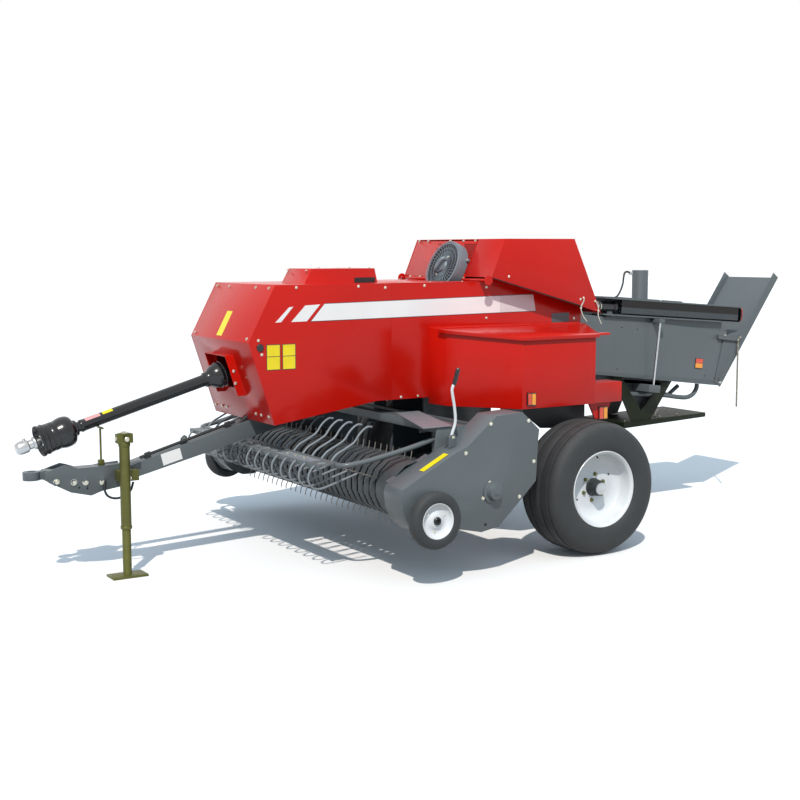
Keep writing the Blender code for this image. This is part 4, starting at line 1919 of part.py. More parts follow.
def build_wind_guard(guard: Body) -> None:
    """The bar over the reel on its two arms, with the bosses that swing on the side plates' pins."""
    path = [
        (GUARD_PIVOT_X, GUARD_ARM_Y, GUARD_PIVOT_Z),
        (GUARD_ARM_ELBOW_X, GUARD_ARM_ELBOW_Y, GUARD_ARM_ELBOW_Z),
        (GUARD_BAR_X, GUARD_ARM_BEND_Y, GUARD_BAR_Z),
    ]
    path += [(x, -y, z) for x, y, z in reversed(path)]
    bar = tube(path, GUARD_BAR_RADIUS, 2)
    pieces = []
    for side in SIDES.values():
        middle = side * GUARD_ARM_Y
        pieces.append(
            across(GUARD_BOSS_RADIUS, GUARD_PIVOT_X, GUARD_PIVOT_Z,
                   middle - GUARD_BOSS_LENGTH / 2, middle + GUARD_BOSS_LENGTH / 2)
        )
    plate = block(
        (GUARD_BAR_X, -GUARD_PLATE_HALF, GUARD_BAR_Z),
        (GUARD_BAR_X + GUARD_PLATE_WIDTH, GUARD_PLATE_HALF, GUARD_BAR_Z + GUARD_PLATE_THICKNESS),
    )
    rods = []
    for number in range(GUARD_ROD_COUNT):
        y = (number - (GUARD_ROD_COUNT - 1) / 2) * GUARD_ROD_PITCH
        rods.append(tube([(x, y, z) for x, z in GUARD_LOWER_ROD], GUARD_ROD_RADIUS, 0))
        if abs(y) > GUARD_DRAWBAR_ROOM:
            pieces.append(tube([(x, y, z) for x, z in GUARD_UPPER_ROD], GUARD_ROD_RADIUS, 0))
    made = joined(bar, plate, gathered(rods), *pieces)
    reach = GUARD_ARM_Y + GUARD_BOSS_LENGTH
    hole = across(GUARD_PIN_RADIUS + GUARD_PIVOT_GAP, GUARD_PIVOT_X, GUARD_PIVOT_Z, -reach, reach, 16)
    guard.add(cut(made, hole), "wind_guard", GREY)


def build_lever(pickup: Body) -> None:
    """The pickup's height lever on its block on the left end cover."""
    (x1, z1), (x2, z2) = COVER_EDGE[1], COVER_EDGE[2]

    def edge_z(x: float) -> float:
        return z1 + (z2 - z1) * (x - x1) / (x2 - x1) + FACE_GAP * 2

    rear, front = LEVER_X - LEVER_BLOCK / 2, LEVER_X + LEVER_BLOCK / 2
    outline = [
        (rear, edge_z(rear)),
        (front, edge_z(front)),
        (front, LEVER_BASE_TOP_Z),
        (rear, LEVER_BASE_TOP_Z),
    ]
    base = slab([outline], "XZ", LEVER_Y - LEVER_BLOCK / 2, LEVER_Y + LEVER_BLOCK / 2)
    rod = tube([(x, LEVER_Y, z) for x, z in LEVER_PATH], LEVER_RADIUS)
    x, z = LEVER_PATH[-1]
    overlap = LEVER_RADIUS * 2
    grip = tube(
        [(x, LEVER_Y, z - overlap), (x - LEVER_GRIP_LEAN, LEVER_Y, z + LEVER_GRIP_LENGTH)], LEVER_GRIP_RADIUS
    )
    pickup.add(joined(base, rod, grip), "height_lever", BLACK)


def build_feed_housing(machine: Body) -> None:
    """The sheet duct that leads the crop from the pickup's middle up into the chamber."""

    def floor_z(x: float) -> float:
        return CHAMBER_REAR_Z + (x - CHAMBER_REAR_X) * math.tan(CHAMBER_PITCH) - FACE_GAP * 2

    outline = [
        (FEED_REAR_X, floor_z(FEED_REAR_X)),
        (FEED_REAR_X, FEED_REAR_BOTTOM_Z),
        (FEED_BEND_X, FEED_BEND_Z),
        (FEED_FRONT_X, FEED_BOTTOM_Z),
        (FEED_FRONT_X, floor_z(FEED_FRONT_X)),
    ]
    inner = inset(outline, FEED_WALL)
    beyond = FEED_FRONT_X + CUT_OVERRUN
    hollow = [
        (inner[1][0], floor_z(FEED_FRONT_X) + CUT_OVERRUN),
        inner[1],
        inner[2],
        (beyond, inner[3][1]),
        (beyond, floor_z(FEED_FRONT_X) + CUT_OVERRUN),
    ]
    side = FEED_HALF_WIDTH - FEED_WALL
    duct = cut(slab([outline], "XZ", -FEED_HALF_WIDTH, FEED_HALF_WIDTH), slab([hollow], "XZ", -side, side))
    machine.add(duct, "feed_housing", DARK)


def build_hose(machine: Body) -> None:
    """The hydraulic hose along the drawbar's top, held by two clamps."""

    def top(x: float, rise: float) -> float:
        return drawbar_top_z(x) + rise

    along = (HOSE_FRONT_X, (HOSE_FRONT_X + HOSE_REAR_X) / 2, HOSE_REAR_X)
    line = tube([(x, HOSE_Y, top(x, HOSE_RISE)) for x in along], HOSE_RADIUS)
    clamps = []
    for front in (HOSE_FRONT_X - HOSE_CLAMP, HOSE_REAR_X + HOSE_CLAMP_INSET):
        rear = front - HOSE_CLAMP
        outline = [
            (rear, top(rear, FACE_GAP * 2)),
            (front, top(front, FACE_GAP * 2)),
            (front, top(front, HOSE_RISE + HOSE_RADIUS + SHEET)),
            (rear, top(rear, HOSE_RISE + HOSE_RADIUS + SHEET)),
        ]
        clamps.append(slab([outline], "XZ", HOSE_Y - HOSE_CLAMP / 2, HOSE_Y + HOSE_CLAMP / 2))
    machine.add(joined(line, *clamps), "drawbar_hose", BLACK)


def main() -> None:
    """Build every body and its pieces."""
    logging.basicConfig(level=logging.INFO)
    clear_scene()
    machine = Body("machine", (0.0, 0.0, 0.0))
    machine.empty.location = (-(MACHINE_FRONT_X + MACHINE_REAR_X) / 2, 0.0, 0.0)
    build_frame(machine)
    build_axle(machine)
    build_drawbar(machine)
    build_hitch(machine)
    build_jack(machine, Body("jack_slide", (JACK_X, JACK_Y, JACK_TUBE_BOTTOM_Z), machine))
    shaft = Body("drive_shaft", (PTO_JOINT_X, 0.0, PTO_JOINT_Z), machine)
    build_drive_shaft(shaft, Body("drive_shaft_slide", (PTO_JOINT_X, 0.0, PTO_JOINT_Z), shaft))
    build_shaft_rest(machine)
    build_driveline(machine)
    build_front_hood(machine)
    build_side_shields(machine)
    build_top_cover(machine)
    fan_x, fan_z = panel_point(FAN_RISE, 0.0)
    build_fan(machine, Body("fan", (fan_x, FAN_Y, fan_z), machine))
    build_knotter_hood(Body("knotter_hood_tilt", (KNOTTER_PIVOT_X, 0.0, KNOTTER_PIVOT_Z), machine))
    build_knotters(machine)
    build_chamber(machine)
    build_feed_housing(machine)
    build_tension_rails(machine)
    build_oil_tank(machine)
    build_chute(Body("chute", (CHUTE_PIVOT_X, 0.0, CHUTE_PIVOT_Z), machine))
    build_chain(machine)
    build_needle_guard(machine)
    build_hose(machine)
    lids = {
        label: Body(f"lid_{label}", (0.0, side * lid_axis()[0], lid_axis()[1]), machine)
        for label, side in SIDES.items()
    }
    build_twine_boxes(machine, lids)
    pickup = Body("pickup", (PICKUP_PIVOT_X, 0.0, PICKUP_PIVOT_Z), machine)
    build_pickup_frame(pickup)
    build_end_covers(pickup)
    build_bands(pickup)
    build_lever(pickup)
    build_reel(Body("reel", (REEL_X, 0.0, REEL_Z), pickup))
    build_wind_guard(Body("wind_guard_swing", (GUARD_PIVOT_X, 0.0, GUARD_PIVOT_Z), pickup))
    for label, side in SIDES.items():
        wheel = Body(f"wheel_{label}", (0.0, side * WHEEL_TRACK_HALF, TYRE_RADIUS), machine)
        build_wheel(wheel, label, side)
        gauge = Body(f"gauge_{label}", (GAUGE_X, side * GAUGE_CENTRE_Y, GAUGE_Z), pickup)
        build_gauge_wheel(gauge, label, side)
        auger = Body(f"auger_turn_{label}", (AUGER_X, side * AUGER_INNER_Y, AUGER_Z), pickup)
        build_auger(auger, label, side)
    log.info("built %d pieces", sum(1 for obj in parts_collection().objects if obj.type == "MESH"))


if __name__ == "__main__":
    main()
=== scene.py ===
"""A small inline square baler, towed, parked on its jack with the bale chute folded up.

Each sub-assembly is a class: its sizes are its fields, and its build method makes the pieces and
dresses them. Lengths are metres, or millimetres in the strings that mm() reads, from the point on the
floor under the axle. at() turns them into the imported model's frame: +X ahead, +Y left, +Z up.
"""

from __future__ import annotations

import logging
import math
from collections.abc import Iterable, Sequence
from dataclasses import dataclass
from enum import Enum

import bmesh
import bpy
from mathutils import Matrix, Vector


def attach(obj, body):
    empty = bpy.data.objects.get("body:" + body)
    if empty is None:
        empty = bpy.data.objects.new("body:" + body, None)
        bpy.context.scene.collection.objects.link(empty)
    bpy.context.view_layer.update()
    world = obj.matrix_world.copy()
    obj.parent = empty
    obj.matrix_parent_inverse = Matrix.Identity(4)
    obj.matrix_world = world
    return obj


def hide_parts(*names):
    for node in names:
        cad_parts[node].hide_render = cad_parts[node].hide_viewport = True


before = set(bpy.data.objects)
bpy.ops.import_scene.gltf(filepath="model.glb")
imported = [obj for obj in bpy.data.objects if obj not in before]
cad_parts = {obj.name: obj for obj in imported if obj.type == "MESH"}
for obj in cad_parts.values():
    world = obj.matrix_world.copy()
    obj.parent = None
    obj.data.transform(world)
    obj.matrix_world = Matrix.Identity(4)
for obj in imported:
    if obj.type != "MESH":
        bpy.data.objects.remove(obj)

LOG = logging.getLogger("square_baler")
Outline = tuple[tuple[float, ...], ...]
Tree = bpy.types.NodeTree
Socket = bpy.types.NodeSocket
AXLE_X = -0.338695
UP = Vector((0.0, 0.0, 1.0))
LEFT = Vector((0.0, 1.0, 0.0))
AHEAD = Vector((1.0, 0.0, 0.0))
SIDES = {"left": 1, "right": -1}
BOTH = ((1, LEFT), (-1, -LEFT))
HOOD_SKIN = 0.4052
PANEL_WAY = Vector((0.919759, 0.0, 0.392483))
POINT_RADIUS = 1e-6
SHARP_OVER = math.radians(35.0)


def at(x: float, y: float, z: float) -> Vector:
    """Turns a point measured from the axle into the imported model's frame.

    Args:
        x: metres ahead of the axle.
        y: metres to the machine's left.
        z: metres above the floor.

    Returns:
        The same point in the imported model's frame.
    """
    return Vector((x + AXLE_X, y, z))


def mm(text: str) -> Outline:
    """Reads points written in millimetres.

    Args:
        text: the points with commas between them and spaces inside them.

    Returns:
        The points in metres.
    """
    return tuple(tuple(float(part) / 1000 for part in point.split()) for point in text.split(","))


def flat(y: float, outline: Iterable[Sequence[float]]) -> list[Vector]:
    """Places a side view's points, (ahead, above) each, at one distance to the left."""
    return [at(x, y, z) for x, z in outline]


def spots(text: str, side: int = 1) -> list[Vector]:
    """Places points of three numbers in millimetres, mirrored where the side is -1."""
    return [at(x, side * y, z) for x, y, z in mm(text)]


def rect(x1: float, z1: float, x2: float, z2: float) -> Outline:
    """Returns the four corners of an upright rectangle from two opposite ones."""
    return ((x1, z1), (x2, z1), (x2, z2), (x1, z2))


def mirrored(outline: Outline) -> Outline:
    """Adds the other half of a section that starts on its middle."""
    return tuple((-along, radius) for along, radius in reversed(outline[1:])) + outline


def spoke(axis: Vector, angle: float) -> Vector:
    """Returns the direction square to an axis at an angle round it."""
    return axis.to_track_quat("Z", "Y").to_matrix() @ Vector((math.cos(angle), math.sin(angle), 0.0))


def linear(code: str) -> tuple[float, float, float, float]:
    """Turns an sRGB hex colour into linear light.

    Args:
        code: six hex digits after a number sign.

    Returns:
        Red, green, blue and an opaque alpha.
    """
    parts = [int(code[place : place + 2], 16) / 255 for place in (1, 3, 5)]
    light = [part / 12.92 if part <= 0.04045 else ((part + 0.055) / 1.055) ** 2.4 for part in parts]
    return (light[0], light[1], light[2], 1.0)


def add_node(tree: Tree, kind: str, settings: dict[str | int, object] | None = None,
             links: dict[str | int, Socket] | None = None) -> bpy.types.Node:
    """Adds one node to a tree.

    Args:
        tree: the node tree that it goes into.
        kind: the node's type name.
        settings: values by input name, input number or property name.
        links: sockets that feed its inputs, by input name or number.

    Returns:
        The new node.
    """
    made = tree.nodes.new(kind)
    for key, value in (settings or {}).items():
        if isinstance(key, str) and hasattr(made, key):
            setattr(made, key, value)
    for key, value in (settings or {}).items():
        if isinstance(key, int) or not hasattr(made, key):
            made.inputs[key].default_value = value
    for key, socket in (links or {}).items():
        tree.links.new(socket, made.inputs[key])
    return made


def ramp(tree: Tree, value: Socket, start: tuple[float, float], end: tuple[float, float]) -> Socket:
    """Returns a socket that runs over the end pair as the value runs over the start pair."""
    limits = {"From Min": start[0], "From Max": start[1], "To Min": end[0], "To Max": end[1]}
    return add_node(tree, "ShaderNodeMapRange", limits, {"Value": value}).outputs[0]


class Surface(Enum):
    """How a surface was made, which decides the pattern of its fine grain."""

    SPRAYED = "sprayed"
    MOULDED = "moulded"
    DRAWN = "drawn"
    DIPPED = "dipped"
    CURED = "cured"
    PRINTED = "printed"
    PUNCHED = "punched"


@dataclass(frozen=True)
class Finish:
    """One real material with its surface process, and the node material that shows it."""

    name: str
    colour: str
    second: str
    patch_mm: float
    grain_mm: float
    surface: Surface
    roughness: tuple[float, float]
    metallic: float = 0.0
    coat: float = 0.0
    bump_mm: float = 0.1
    strength: float = 0.3
    dust: float = 0.0
    blend: float = 0.6
    specular: float = 0.5

    def material(self) -> bpy.types.Material:
        """Returns the node material of this finish, made on its first use."""
        found = bpy.data.materials.get(self.name)
        return found if found else self.draw()

    def fine(self, tree: Tree, place: Socket) -> Socket:
        """Draws the fine grain that roughness and bump follow.

        Args:
            tree: the material's node tree.
            place: object coordinates in metres.

        Returns:
            A value from 0 to 1.
        """
        scale = 1000.0 / self.grain_mm
        if self.surface in (Surface.DIPPED, Surface.PUNCHED):
            even = self.surface is Surface.PUNCHED
            cells = {"Scale": scale, "Randomness": 0.0 if even else 1.0}
            made = add_node(tree, "ShaderNodeTexVoronoi", cells, {"Vector": place})
            return made.outputs["Distance" if even else "Color"]
        stretch = (1.0, 1.0, 0.06) if self.surface is Surface.DRAWN else (1.0, 1.0, 1.0)
        drawn = add_node(tree, "ShaderNodeMapping", {"Scale": stretch}, {"Vector": place})
        detail = 8.0 if self.surface in (Surface.MOULDED, Surface.CURED) else 2.0
        grain = {"Scale": scale, "Detail": detail, "Roughness": 0.6}
        return add_node(tree, "ShaderNodeTexNoise", grain, {"Vector": drawn.outputs[0]}).outputs[0]

    def draw(self) -> bpy.types.Material:
        """Makes the node material: two tones in patches, dust on top, roughness and bump from the grain."""
        made = bpy.data.materials.new(self.name)
        made.use_nodes = True
        tree = made.node_tree
        tree.nodes.clear()
        place = add_node(tree, "ShaderNodeTexCoord").outputs["Object"]
        patches = add_node(tree, "ShaderNodeTexNoise", {"Scale": 1000.0 / self.patch_mm, "Detail": 5.0},
                           {"Vector": place}).outputs[0]
        share = ramp(tree, patches, (0.35, 0.68), (0.0, self.blend))
        tones = {"data_type": "RGBA", 6: linear(self.colour), 7: linear(self.second)}
        colour = add_node(tree, "ShaderNodeMix", tones, {0: share}).outputs[2]
        if self.dust:
            facing = add_node(tree, "ShaderNodeNewGeometry").outputs["Normal"]
            upward = add_node(tree, "ShaderNodeSeparateXYZ", links={0: facing}).outputs[2]
            settled = ramp(tree, upward, (0.5, 1.0), (0.0, self.dust))
            drift = add_node(tree, "ShaderNodeMath", {"operation": "MULTIPLY"}, {0: settled, 1: patches})
            colour = add_node(tree, "ShaderNodeMix", {"data_type": "RGBA", 7: linear("#BDB9B0")},
                              {0: drift.outputs[0], 6: colour}).outputs[2]
        fine = self.fine(tree, place)
        rough = ramp(tree, fine, (0.3, 0.7), self.roughness)
        depth = {"Strength": self.strength, "Distance": self.bump_mm / 1000.0}
        bump = add_node(tree, "ShaderNodeBump", depth, {"Height": fine})
        looks = {"Metallic": self.metallic, "Specular IOR Level": self.specular, "Coat Weight": self.coat,
                 "Coat Roughness": 0.06}
        body = add_node(tree, "ShaderNodeBsdfPrincipled", looks,
                        {"Base Color": colour, "Roughness": rough, "Normal": bump.outputs[0]})
        add_node(tree, "ShaderNodeOutputMaterial", links={0: body.outputs[0]})
        return made


# Gloss red enamel, sprayed on sheet steel: deep colour under a clear skin with a faint orange peel.
RED = Finish("red_enamel_sprayed", "#C4160A", "#BA1308", 420, 5, Surface.SPRAYED, (0.20, 0.28), coat=0.08,
             bump_mm=0.05, strength=0.08, dust=0.02, specular=0.22)
# Satin grey enamel, sprayed: even mid grey with a soft sheen and small tonal drift.
GREY = Finish("grey_enamel_sprayed", "#596165", "#525A5E", 300, 4, Surface.SPRAYED, (0.36, 0.48), coat=0.08,
              bump_mm=0.08, strength=0.15, dust=0.06, specular=0.4)
# Dark enamel on cast and welded parts: rougher skin that catches little light.
DARK = Finish("dark_enamel_sprayed", "#292D30", "#202427", 180, 3, Surface.SPRAYED, (0.4, 0.58), coat=0.05,
              bump_mm=0.12, strength=0.25, dust=0.05, specular=0.35)
# Dark green-black enamel of the needle frame: nearly black, with a green cast where light falls on it.
GREEN_BLACK = Finish("green_black_enamel_sprayed", "#141C0C", "#10160A", 160, 3, Surface.SPRAYED,
                     (0.42, 0.56), bump_mm=0.12, strength=0.25, dust=0.02, specular=0.2)
# White enamel of the wheel discs: cool white, smooth and glossy.
WHITE = Finish("white_enamel_sprayed", "#D6DBDF", "#CBD1D6", 150, 4, Surface.SPRAYED, (0.22, 0.34),
               coat=0.4, bump_mm=0.05, strength=0.12)
# Olive passivated zinc, dipped: yellow-green metal skin with a mottled cell pattern.
OLIVE = Finish("olive_zinc_dipped", "#62632F", "#515225", 60, 9, Surface.DIPPED, (0.38, 0.55),
               metallic=0.45, bump_mm=0.08, strength=0.2)
# Cured tyre rubber: dark, dull, slightly blue-grey, with a fine skin.
RUBBER = Finish("tyre_rubber_cured", "#2B2E30", "#33363A", 90, 1.6, Surface.CURED, (0.62, 0.78),
                bump_mm=0.15, strength=0.35, dust=0.06)
# Black polyethylene guards, moulded: glossy near-black with soft broad highlights.
PLASTIC = Finish("black_polyethylene_moulded", "#0A0E13", "#10151B", 110, 2.2, Surface.MOULDED,
                 (0.18, 0.28), coat=0.2, bump_mm=0.05, strength=0.15)
# Grey-black nylon of the fan cover, moulded: satin, a little paler than the guards.
NYLON = Finish("grey_black_nylon_moulded", "#748089", "#67727B", 60, 1.8, Surface.MOULDED, (0.4, 0.55),
               bump_mm=0.08, strength=0.25)
# Bright drawn steel of yokes, rods and pins: fine lines along the bar.
STEEL = Finish("bright_steel_drawn", "#C3C6C8", "#AEB2B6", 40, 1.5, Surface.DRAWN, (0.22, 0.38),
               metallic=1.0, bump_mm=0.03, strength=0.2)
# Zinc plated bolts: pale metal with a faint yellow cast in places.
PLATED = Finish("zinc_plate_dipped", "#D2D3CC", "#B9B48E", 14, 3, Surface.DIPPED, (0.25, 0.4), metallic=0.9,
                bump_mm=0.02, strength=0.2)
# Zinc plate of the chain, dipped: dull brown-grey metal in bright and dark patches about a link long, painted
# highlight and shade standing in for the glints on the links.
CHAIN = Finish("chain_zinc_dipped", "#A39E92", "#6E695E", 9, 2, Surface.DIPPED, (0.35, 0.5), metallic=0.6,
               bump_mm=0.03, strength=0.2)
# Pale grey enamel on the guard's rods, worn smooth by the hay; on the raised part of the guard's plate the
# same paler grey is a painted highlight where light falls.
ROD_GREY = Finish("pale_grey_enamel_sprayed", "#7F888E", "#747D83", 120, 3, Surface.SPRAYED, (0.3, 0.42),
                  coat=0.1, bump_mm=0.05, strength=0.12, dust=0.04)
# Grey enamel darkened as painted shade, for the stripper bands, strips along the tension rails and skirts
# under the chamber, with a little dust on top faces.
PAINTED_SHADE_GREY = Finish("grey_enamel_painted_shade", "#3F4549", "#363C40", 90, 3, Surface.SPRAYED, (0.42, 0.55),
                   bump_mm=0.08, strength=0.2, dust=0.08, specular=0.35)
# Galvanised spring wire of the tines: warm pale grey with worn darker lengths.
SPRING = Finish("spring_wire_galvanised", "#8F8B86", "#6E6A65", 25, 2.5, Surface.DIPPED, (0.38, 0.55),
                metallic=0.55, bump_mm=0.05, strength=0.2)
# Hose rubber with a wrapped cover: matt black with a fine cloth mark.
HOSE = Finish("hose_rubber_wrapped", "#1C1E20", "#25282B", 30, 1.2, Surface.CURED, (0.5, 0.66), bump_mm=0.1,
              strength=0.3)
# Printed vinyl film, white, yellow and pink: flat colour with a smooth, slightly uneven sheen.
WHITE_FILM = Finish("white_vinyl_printed", "#F0F0F0", "#E4E5E7", 220, 6, Surface.PRINTED, (0.25, 0.35),
                    bump_mm=0.02, strength=0.08)
YELLOW_FILM = Finish("yellow_vinyl_printed", "#F0DC1C", "#E6CF14", 60, 6, Surface.PRINTED, (0.28, 0.38),
                     bump_mm=0.02, strength=0.08)
PINK_FILM = Finish("pink_vinyl_printed", "#D9A0A0", "#C88888", 12, 3, Surface.PRINTED, (0.3, 0.4),
                   bump_mm=0.02, strength=0.08)
LINE_FILM = Finish("dark_outline_printed", "#3A3436", "#2E2A2C", 40, 6, Surface.PRINTED, (0.3, 0.4),
                   bump_mm=0.02, strength=0.08)
# Moulded acrylic reflectors: amber and red with a small cell pattern under the skin.
AMBER = Finish("amber_acrylic_moulded", "#F08A12", "#FFC21E", 9, 3, Surface.PUNCHED, (0.12, 0.3), coat=0.5,
               bump_mm=0.3, strength=0.5)
RED_LENS = Finish("red_acrylic_moulded", "#D8321E", "#F0641E", 9, 3, Surface.PUNCHED, (0.12, 0.3), coat=0.5,
                  bump_mm=0.3, strength=0.5)
# Painted shade: near-black sheets and discs put inside slots, holes, vents and gaps, where no light comes
# back from them.
SHADOW = Finish("near_black_painted_shade", "#0C0A0A", "#120E0E", 60, 4, Surface.SPRAYED, (0.7, 0.85),
                bump_mm=0.05, strength=0.1)
# Grey end of the long stripe, printed film: a pale grey that fades the white out.
GREY_FILM = Finish("grey_vinyl_printed", "#D9D6D8", "#CFCBCE", 60, 6, Surface.PRINTED, (0.28, 0.38),
                   bump_mm=0.02, strength=0.08)
# Punched black mesh: a grid of small dark holes.
MESH = Finish("black_mesh_punched", "#1A1A1C", "#232326", 30, 8, Surface.PUNCHED, (0.5, 0.7), bump_mm=0.8,
              strength=0.8)


class Form:
    """Collects the faces of one piece, each with the number of its finish."""

    def __init__(self) -> None:
        """Starts with no faces."""
        self.points: list[Vector] = []
        self.faces: list[tuple[tuple[int, ...], int]] = []

    def add(self, points: Iterable[Vector], faces: Iterable[Sequence[int]], finish: int = 0) -> None:
        """Adds faces that are numbered from their own first point.

        Args:
            points: the corners.
            faces: the corners of each face.
            finish: the number of the finish.
        """
        first = len(self.points)
        self.points.extend(Vector(point) for point in points)
        self.faces.extend((tuple(first + corner for corner in face), finish) for face in faces)

    def lathe(self, outline: Iterable[Sequence[float]], centre: Vector, axis: Vector, steps: int = 48,
              finish: int = 0, loop: bool = False) -> None:
        """Turns an outline of (along, radius) about an axis.

        Args:
            outline: the points of the section.
            centre: where along is zero.
            axis: the direction of the axis.
            steps: sides of the circle.
            finish: the number of the finish.
            loop: whether the last point joins the first.
        """
        turn = axis.to_track_quat("Z", "Y").to_matrix()
        rings: list[tuple[int, int]] = []
        points: list[Vector] = []
        faces: list[list[int]] = []
        for along, radius in outline:
            count = steps if radius > POINT_RADIUS else 1
            rings.append((len(points), count))
            for step in range(count):
                angle = math.tau * step / steps
                around = Vector((radius * math.cos(angle), radius * math.sin(angle), along))
                points.append(centre + turn @ around)
        pairs = [*zip(rings, rings[1:]), (rings[-1], rings[0])]
        for (first, many), (second, more) in pairs if loop else pairs[:-1]:
            for step in range(steps if many + more > 2 else 0):
                after = (step + 1) % steps
                if many == 1:
                    faces.append([first, second + step, second + after])
                elif more == 1:
                    faces.append([first + step, first + after, second])
                else:
                    faces.append([first + step, first + after, second + after, second + step])
        if not loop:
            ends = [(first, count) for first, count in (rings[0], rings[-1]) if count > 1]
            faces += [[first + step for step in range(count)] for first, count in ends]
        self.add(points, faces, finish)

    def rod(self, low: float, high: float, radius: float, centre: Vector, axis: Vector, steps: int,
            finish: int = 0) -> None:
        """Adds a plain cylinder from low to high along an axis."""
        self.lathe([(low, radius), (high, radius)], centre, axis, steps, finish)

    def skin(self, points: Sequence[Vector], corners: int, finish: int = 0, loop: bool = False) -> None:
        """Joins sections that have the same number of corners, and closes the two ends.

        Args:
            points: the corners, one section after another.
            corners: the number of corners in a section.
            finish: the number of the finish.
            loop: whether the last section joins the first, so that there are no ends.
        """
        count = len(points) // corners
        faces = []
        for place in range(count if loop else count - 1):
            first, second = place * corners, (place + 1) % count * corners
            for corner in range(corners):
                after = (corner + 1) % corners
                faces.append([first + corner, first + after, second + after, second + corner])
        if not loop:
            faces += [list(range(corners)), list(range((count - 1) * corners, count * corners))]
        self.add(points, faces, finish)

    def tube(self, path: Sequence[Vector], radius: float | Sequence[float], sides: int = 10, finish: int = 0,
             loop: bool = False) -> None:
        """Sweeps a circle along a path.

        Args:
            path: the centreline.
            radius: one radius, or one for each point.
            sides: sides of the circle.
            finish: the number of the finish.
            loop: whether the path is closed.
        """
        count = len(path)
        radii = [radius] * count if isinstance(radius, (int, float)) else list(radius)
        points: list[Vector] = []
        across = None
        for place, point in enumerate(path):
            before = path[place - 1] if place or loop else point
            after = path[(place + 1) % count] if place + 1 < count or loop else point
            way = (after - before).normalized()
            across = (way.orthogonal() if across is None else across - way * across.dot(way)).normalized()
            other = way.cross(across)
            for side in range(sides):
                angle = math.tau * side / sides
                points.append(point + (across * math.cos(angle) + other * math.sin(angle)) * radii[place])
        self.skin(points, sides, finish, loop)

    def slab(self, outline: Sequence[Vector], push: Vector, finish: int = 0) -> None:
        """Gives a flat outline a thickness.

        Args:
            outline: the corners in order.
            push: the thickness and its direction.
            finish: the number of the finish.
        """
        self.skin([*outline, *(point + push for point in outline)], len(outline), finish)

    def plate(self, y: float, outline: Iterable[Sequence[float]], thickness: float, finish: int = 0) -> None:
        """Adds an upright plate from its side view, thickened to the left."""
        self.slab(flat(y, outline), LEFT * thickness, finish)

    def bar(self, low: Vector, high: Vector, finish: int = 0) -> None:
        """Adds a bar between two corners, along the frame's axes."""
        x, y, z = high - low
        self.slab([low, low + AHEAD * x, low + AHEAD * x + LEFT * y, low + LEFT * y], UP * z, finish)

    def bolt(self, centre: Vector, way: Vector, across: float, finish: int = 0) -> None:
        """Adds a hexagon head on its washer.

        Args:
            centre: the middle of the washer's foot.
            way: the direction that the head faces.
            across: the width over the head's corners.
            finish: the number of the finish.
        """
        half = across / 2
        washer = [(-0.001, half * 1.35), (half * 0.16, half * 1.35), (half * 0.2, half * 1.25)]
        self.lathe(washer, centre, way, 16, finish)
        head = [(half * 0.15, half), (half * 0.75, half), (half * 0.9, half * 0.8)]
        self.lathe(head, centre, way, 6, finish)

    def bolts(self, centres: Iterable[Vector], way: Vector, across: float, finish: int = 0) -> None:
        """Adds a bolt at each of several places."""
        for centre in centres:
            self.bolt(centre, way, across, finish)

    def piece(self, name: str, body: str, finishes: Sequence[Finish], slot: str,
              stands_for: Sequence[str] = (), bevel: float = 0.0) -> bpy.types.Object:
        """Makes the piece, gives it its finishes and sets it on its body.

        Args:
            name: the piece's name.
            body: the body that it rides on.
            finishes: the finishes in the order of their numbers.
            slot: the record's material slot, not used.
            stands_for: the nodes that it replaces.
            bevel: the width of the rounded edges, or zero.

        Returns:
            The finished object.
        """
        mesh = bpy.data.meshes.new(name)
        mesh.from_pydata(self.points, [], [face for face, _ in self.faces])
        for polygon, (_, finish) in zip(mesh.polygons, self.faces):
            polygon.material_index = finish
        working = bmesh.new()
        working.from_mesh(mesh)
        bmesh.ops.recalc_face_normals(working, faces=working.faces)
        working.to_mesh(mesh)
        working.free()
        mesh.shade_smooth()
        mesh.set_sharp_from_angle(angle=SHARP_OVER)
        made = bpy.data.objects.new(name, mesh)
        bpy.context.scene.collection.objects.link(made)
        for finish in finishes:
            mesh.materials.append(finish.material())
        if bevel:
            round_edges(made, bevel).harden_normals = True
        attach(made, body)
        if stands_for:
            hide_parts(*stands_for)
        LOG.info("%s rides on %s", name, body)
        return made


def round_edges(part: bpy.types.Object, width: float) -> bpy.types.BevelModifier:
    """Gives an object's edges a narrow rounding and returns its modifier."""
    edges = part.modifiers.new("edges", "BEVEL")
    edges.width = width
    edges.segments = 2
    edges.limit_method = "ANGLE"
    return edges


def curve_through(points: Sequence[Vector], steps: int = 8) -> list[Vector]:
    """Draws a smooth line through points.

    Args:
        points: what the line passes through.
        steps: parts of each span.

    Returns:
        The points of the smooth line.
    """
    ends = [points[0] * 2 - points[1], *points, points[-1] * 2 - points[-2]]
    made = []
    for place in range(len(points) - 1):
        a, b, c, d = ends[place : place + 4]
        for step in range(steps):
            t = step / steps
            rest = (a * 2 - b * 5 + c * 4 - d) * t**2 + (b * 3 - a - c * 3 + d) * t**3
            made.append((b * 2 + (c - a) * t + rest) / 2)
    made.append(points[-1].copy())
    return made


